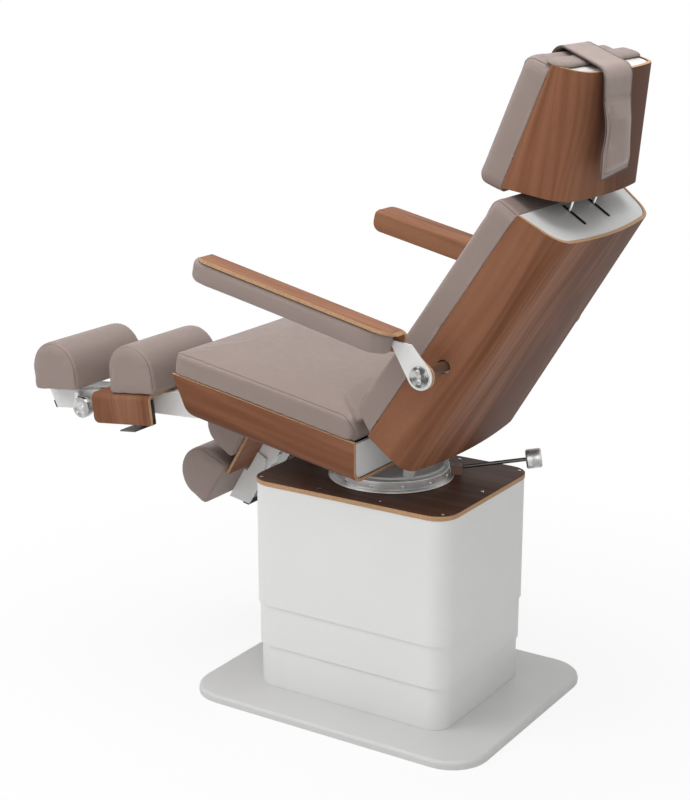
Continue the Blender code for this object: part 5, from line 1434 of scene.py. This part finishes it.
PLAIN = (
    (PALE, "floor_plate"),
    (WHITE, "column_lower_shell column_middle_shell column_upper_shell seat_carrier seat_end_plate "
            "headrest_top_plate"),
    (GREY, "back_end_plate"),
    (TUBE_STEEL, "lift_tube_outer lift_tube_middle lift_tube_inner seat_frame back_frame"),
    (BLACK, "lift_motor tilt_actuator headrest_sleeve headrest_block"),
    (RING, "ring_flange swivel_ring"),
    (CLAY, "brake_clamp"),
    (DARK_STEEL, "brake_rod"),
    (CHROME, "leg_hinge_pin tilt_pin headrest_rods"),
)
PLAIN_SIDES = (
    (BROWN, "arm_shaft"),
    (WHITE, "arm_bracket leg_beam foot_bracket"),
    (CHROME, "slide_rods"),
    (DARK_STEEL, "release_tongue"),
)
BRAKE_LINE = (-0.495, 0.858, 0.139)
BOARD_EDGE = 0.0009
RING_SCREWS = 12
RING_SCREW_TURN = 12.0
RING_SCREW = (0.0035, 0.0016)      # radius and height
TOP_SCREW = (0.0036, 0.0014)
TILT_NUT = (0.0095, 0.004)
ARM_SCREW = (0.0058, 0.0026)
ARM_SCREW_STEP = 0.0095


def boards():
    """Veneer on the flat and angled boards that are carried over."""
    # The top plate's veneer is dimmed to 0.40 as painted shade from the seat above it.
    paint = veneer_by_place("walnut_top_painted_shade", (0.0, 0.0, DECK), Vector((0.0, 1.0, 0.0)), UP, 0.0, tone=0.40)
    dress("top_plate", paint, BOARD_EDGE)
    for sign, side in SIDES.items():
        paint = veneer_by_place(f"walnut_arm_{side}", ARM.origin, ARM.along, ARM.square, ARM_TOP,
                                ARM_INNER)
        dress(f"arm_shell_{side}", paint, BOARD_EDGE)
        leg = LEGS[sign]
        paint = veneer_by_place(f"walnut_cover_{side}", leg.origin, ACROSS, leg.square, ROLL_BASE - FIT,
                                ROLL_OUTER + 0.001, tone=0.85)
        dress(f"calf_cover_{side}", paint, BOARD_EDGE)


def metalwork():
    """Materials for the other solids that are carried over."""
    for paint, nodes in PLAIN:
        for node in nodes.split():
            dress(node, paint)
    low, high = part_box("brake_knob")
    middle = Vector(low).lerp(Vector(high), 0.5)
    dress("brake_knob", turned_metal("turned_knob", (0.62, 0.62, 0.61), 0.42, middle, BRAKE_LINE))
    for sign, side in SIDES.items():
        for paint, nodes in PLAIN_SIDES:
            for node in nodes.split():
                dress(f"{node}_{side}", paint)
        middle = (sign * ARM_INNER, *ARM_PIVOT)
        # On the discs the painted reflections dim to 0.20, darker than on the other turned parts.
        paint = turned_metal(f"turned_disc_{side}", (0.56, 0.56, 0.55), 0.26, middle, ACROSS, 0.20)
        dress(f"arm_disc_{side}", paint)


def fittings():
    """Screws in the ring, the top plate, the tilt pin and the arms' discs."""
    for k in range(RING_SCREWS):
        turn = math.radians(360.0 / RING_SCREWS * k + RING_SCREW_TURN)
        axis = Vector((math.cos(turn), math.sin(turn), 0.0))
        place = axis * RING_RADIUS + UP * (RING_FOOT + 0.42 * RING_HEIGHT)
        screw(f"ring_screw_{k}", place, axis, RING_SCREW, "swivel")
    half_x, half_y, step_y = 0.180, 0.238, 0.08
    spots = [(x, y) for x in (half_x, -half_x) for y in (half_y, step_y, -step_y, -half_y)]
    for k, (x, y) in enumerate(spots + [(0.0, half_y), (0.0, -half_y)]):
        screw(f"top_screw_{k}", (x, y, DECK), UP, TOP_SCREW, "carriage")
    for sign, side in SIDES.items():
        screw(f"tilt_nut_{side}", (sign * TILT_PIN_END, *TILT_AXIS), sign * ACROSS, TILT_NUT, "seat")
    face = ARM_INNER + PLY + FIT + ARM_BRACKET + FIT + 0.003
    for sign, side in SIDES.items():
        for k, step in enumerate((ARM_SCREW_STEP, -ARM_SCREW_STEP)):
            place = ARM.at(sign * face, 0.4 * step, step)
            screw(f"arm_screw_{side}_{k}", place, sign * ACROSS, ARM_SCREW, f"arm_{side}", STEEL)


def slot_shade_liner(sign):
    """A lining in the end plate's slot, round the headrest's rod, black as painted shade in the slot."""
    top = BACK_LENGTH - 0.0015
    x = sign * ROD_SPACING / 2
    inner, middle, outer = 0.0044, 0.0048, 0.0060
    deep, plate, lip = -0.0040, 0.0004, 0.0009
    section = [(middle, deep), (middle, plate), (outer, plate), (outer, lip), (inner, lip), (inner, deep)]
    mesh = bmesh.new()
    rows = []
    for wide, over in section:
        left, right = x - wide, x + wide
        corners = [(left, SLOT_FRONT), (right, SLOT_FRONT), (right, SLOT_REAR), (left, SLOT_REAR)]
        outline = rounded(corners, 0.99 * wide, 6)
        rows.append([mesh.verts.new(BACK.at(p.x, top + over, p.y)) for p in outline])
    bridge(mesh, rows + rows[:1])
    settle(piece(f"slot_shade_liner_{SIDES[sign]}", mesh, "back", [BLACK], sharp=30.0))


def clamp_knob(sign):
    """The foot rest's locking knob: a neck, a hexagon, a grooved grip and a dished face."""
    side = SIDES[sign]
    outward = sign * ACROSS
    middle = LEGS[sign].at(sign * CLAMP_FACE, FOOT_AT[sign] - CLAMP_BACK, CLAMP_LEVEL)
    wide, long = 1.18 * CLAMP_RADIUS, CLAMP_LENGTH
    neck, nut, waist, grooved = 0.58 * wide, 0.84 * wide, 0.66 * wide, 0.97 * wide
    profile = [(0.0, neck), (0.003, neck), (0.0032, nut, 6), (0.0075, nut, 6)]
    profile += [(0.0078, waist), (0.0095, waist), (0.0098, 0.95 * wide), (0.0115, wide)]
    profile += [(0.0170, wide), (0.0174, grooved), (0.0184, grooved), (0.0188, wide)]
    face = [(0.003, 1.0), (0.001, 0.96), (0.0, 0.88), (0.0, 0.70), (0.002, 0.65), (0.002, 0.30)]
    face += [(0.0004, 0.25), (0.0004, 0.04)]
    profile += [(long - back, share * wide) for back, share in face]
    paint = turned_metal(f"turned_clamp_{side}", (0.66, 0.66, 0.65), 0.26, middle, outward)
    mesh = turned(middle, outward, profile, 48)
    made = piece(f"clamp_knob_turned_{side}", mesh, f"clamp_{side}", [paint], sharp=30.0)
    settle(made, f"clamp_knob_{side}")


def foot_trim(sign):
    """A ribbed stop over the knob and the black strip on the foot bracket's front edge."""
    leg = LEGS[sign]
    side = SIDES[sign]
    body = f"foot_{side}"
    at = FOOT_AT[sign]
    rib, root, pitch = 0.0084, 0.0066, 0.0045
    stop_out, stop_back, stop_level = 0.0085, 0.026, -0.036
    strip_tall, strip_thick, strip_edge = 0.019, 0.0034, 0.0014
    profile = [(0.0, 0.007)]
    for k in range(4):
        low = 0.001 + pitch * k
        profile += [(low, rib), (low + 0.0024, rib), (low + 0.0028, root), (low + 0.0042, root)]
    foot = leg.at(sign * (CLAMP_FACE + stop_out), at - stop_back, stop_level)
    mesh = turned(foot, leg.square, profile, 32)
    settle(piece(f"clamp_stop_{side}", mesh, body, [CHROME], sharp=30.0))
    start = Vector((at + FOOT_AHEAD - FOOT_SLANT, ROLL_BASE + FOOT_LIFT - FIT - FOOT_DROP))
    rise = Vector((FOOT_SLANT, FOOT_DROP)).normalized()
    out = Vector((rise.y, -rise.x))
    tall = rise * strip_tall
    near, far = start + out * FIT, start + out * strip_thick
    outline = rounded([near, far, far + tall, near + tall], [0.0, strip_edge, strip_edge, 0.0], 3)
    ends = (BEAM_INNER - 0.006, CLAMP_FACE - 0.0005)
    mesh = closed([[leg.at(sign * x, p.x, p.y) for p in outline] for x in ends])
    settle(piece(f"foot_strip_{side}", mesh, body, [BLACK], sharp=30.0))


camera()
stage()
light()
boards()
metalwork()
seat_shell()
back_shell()
headrest_shell()
cushions()
headrest_bead()
neck_roll()
for sign in SIDES:
    roll("calf", sign, "leg", CALF_AT, ROLL_BASE)
    roll("foot", sign, "foot", FOOT_AT[sign], ROLL_BASE + FOOT_LIFT)
    arm_pad(sign)
    clamp_knob(sign)
    foot_trim(sign)
    slot_shade_liner(sign)
headrest_strap()
fittings()
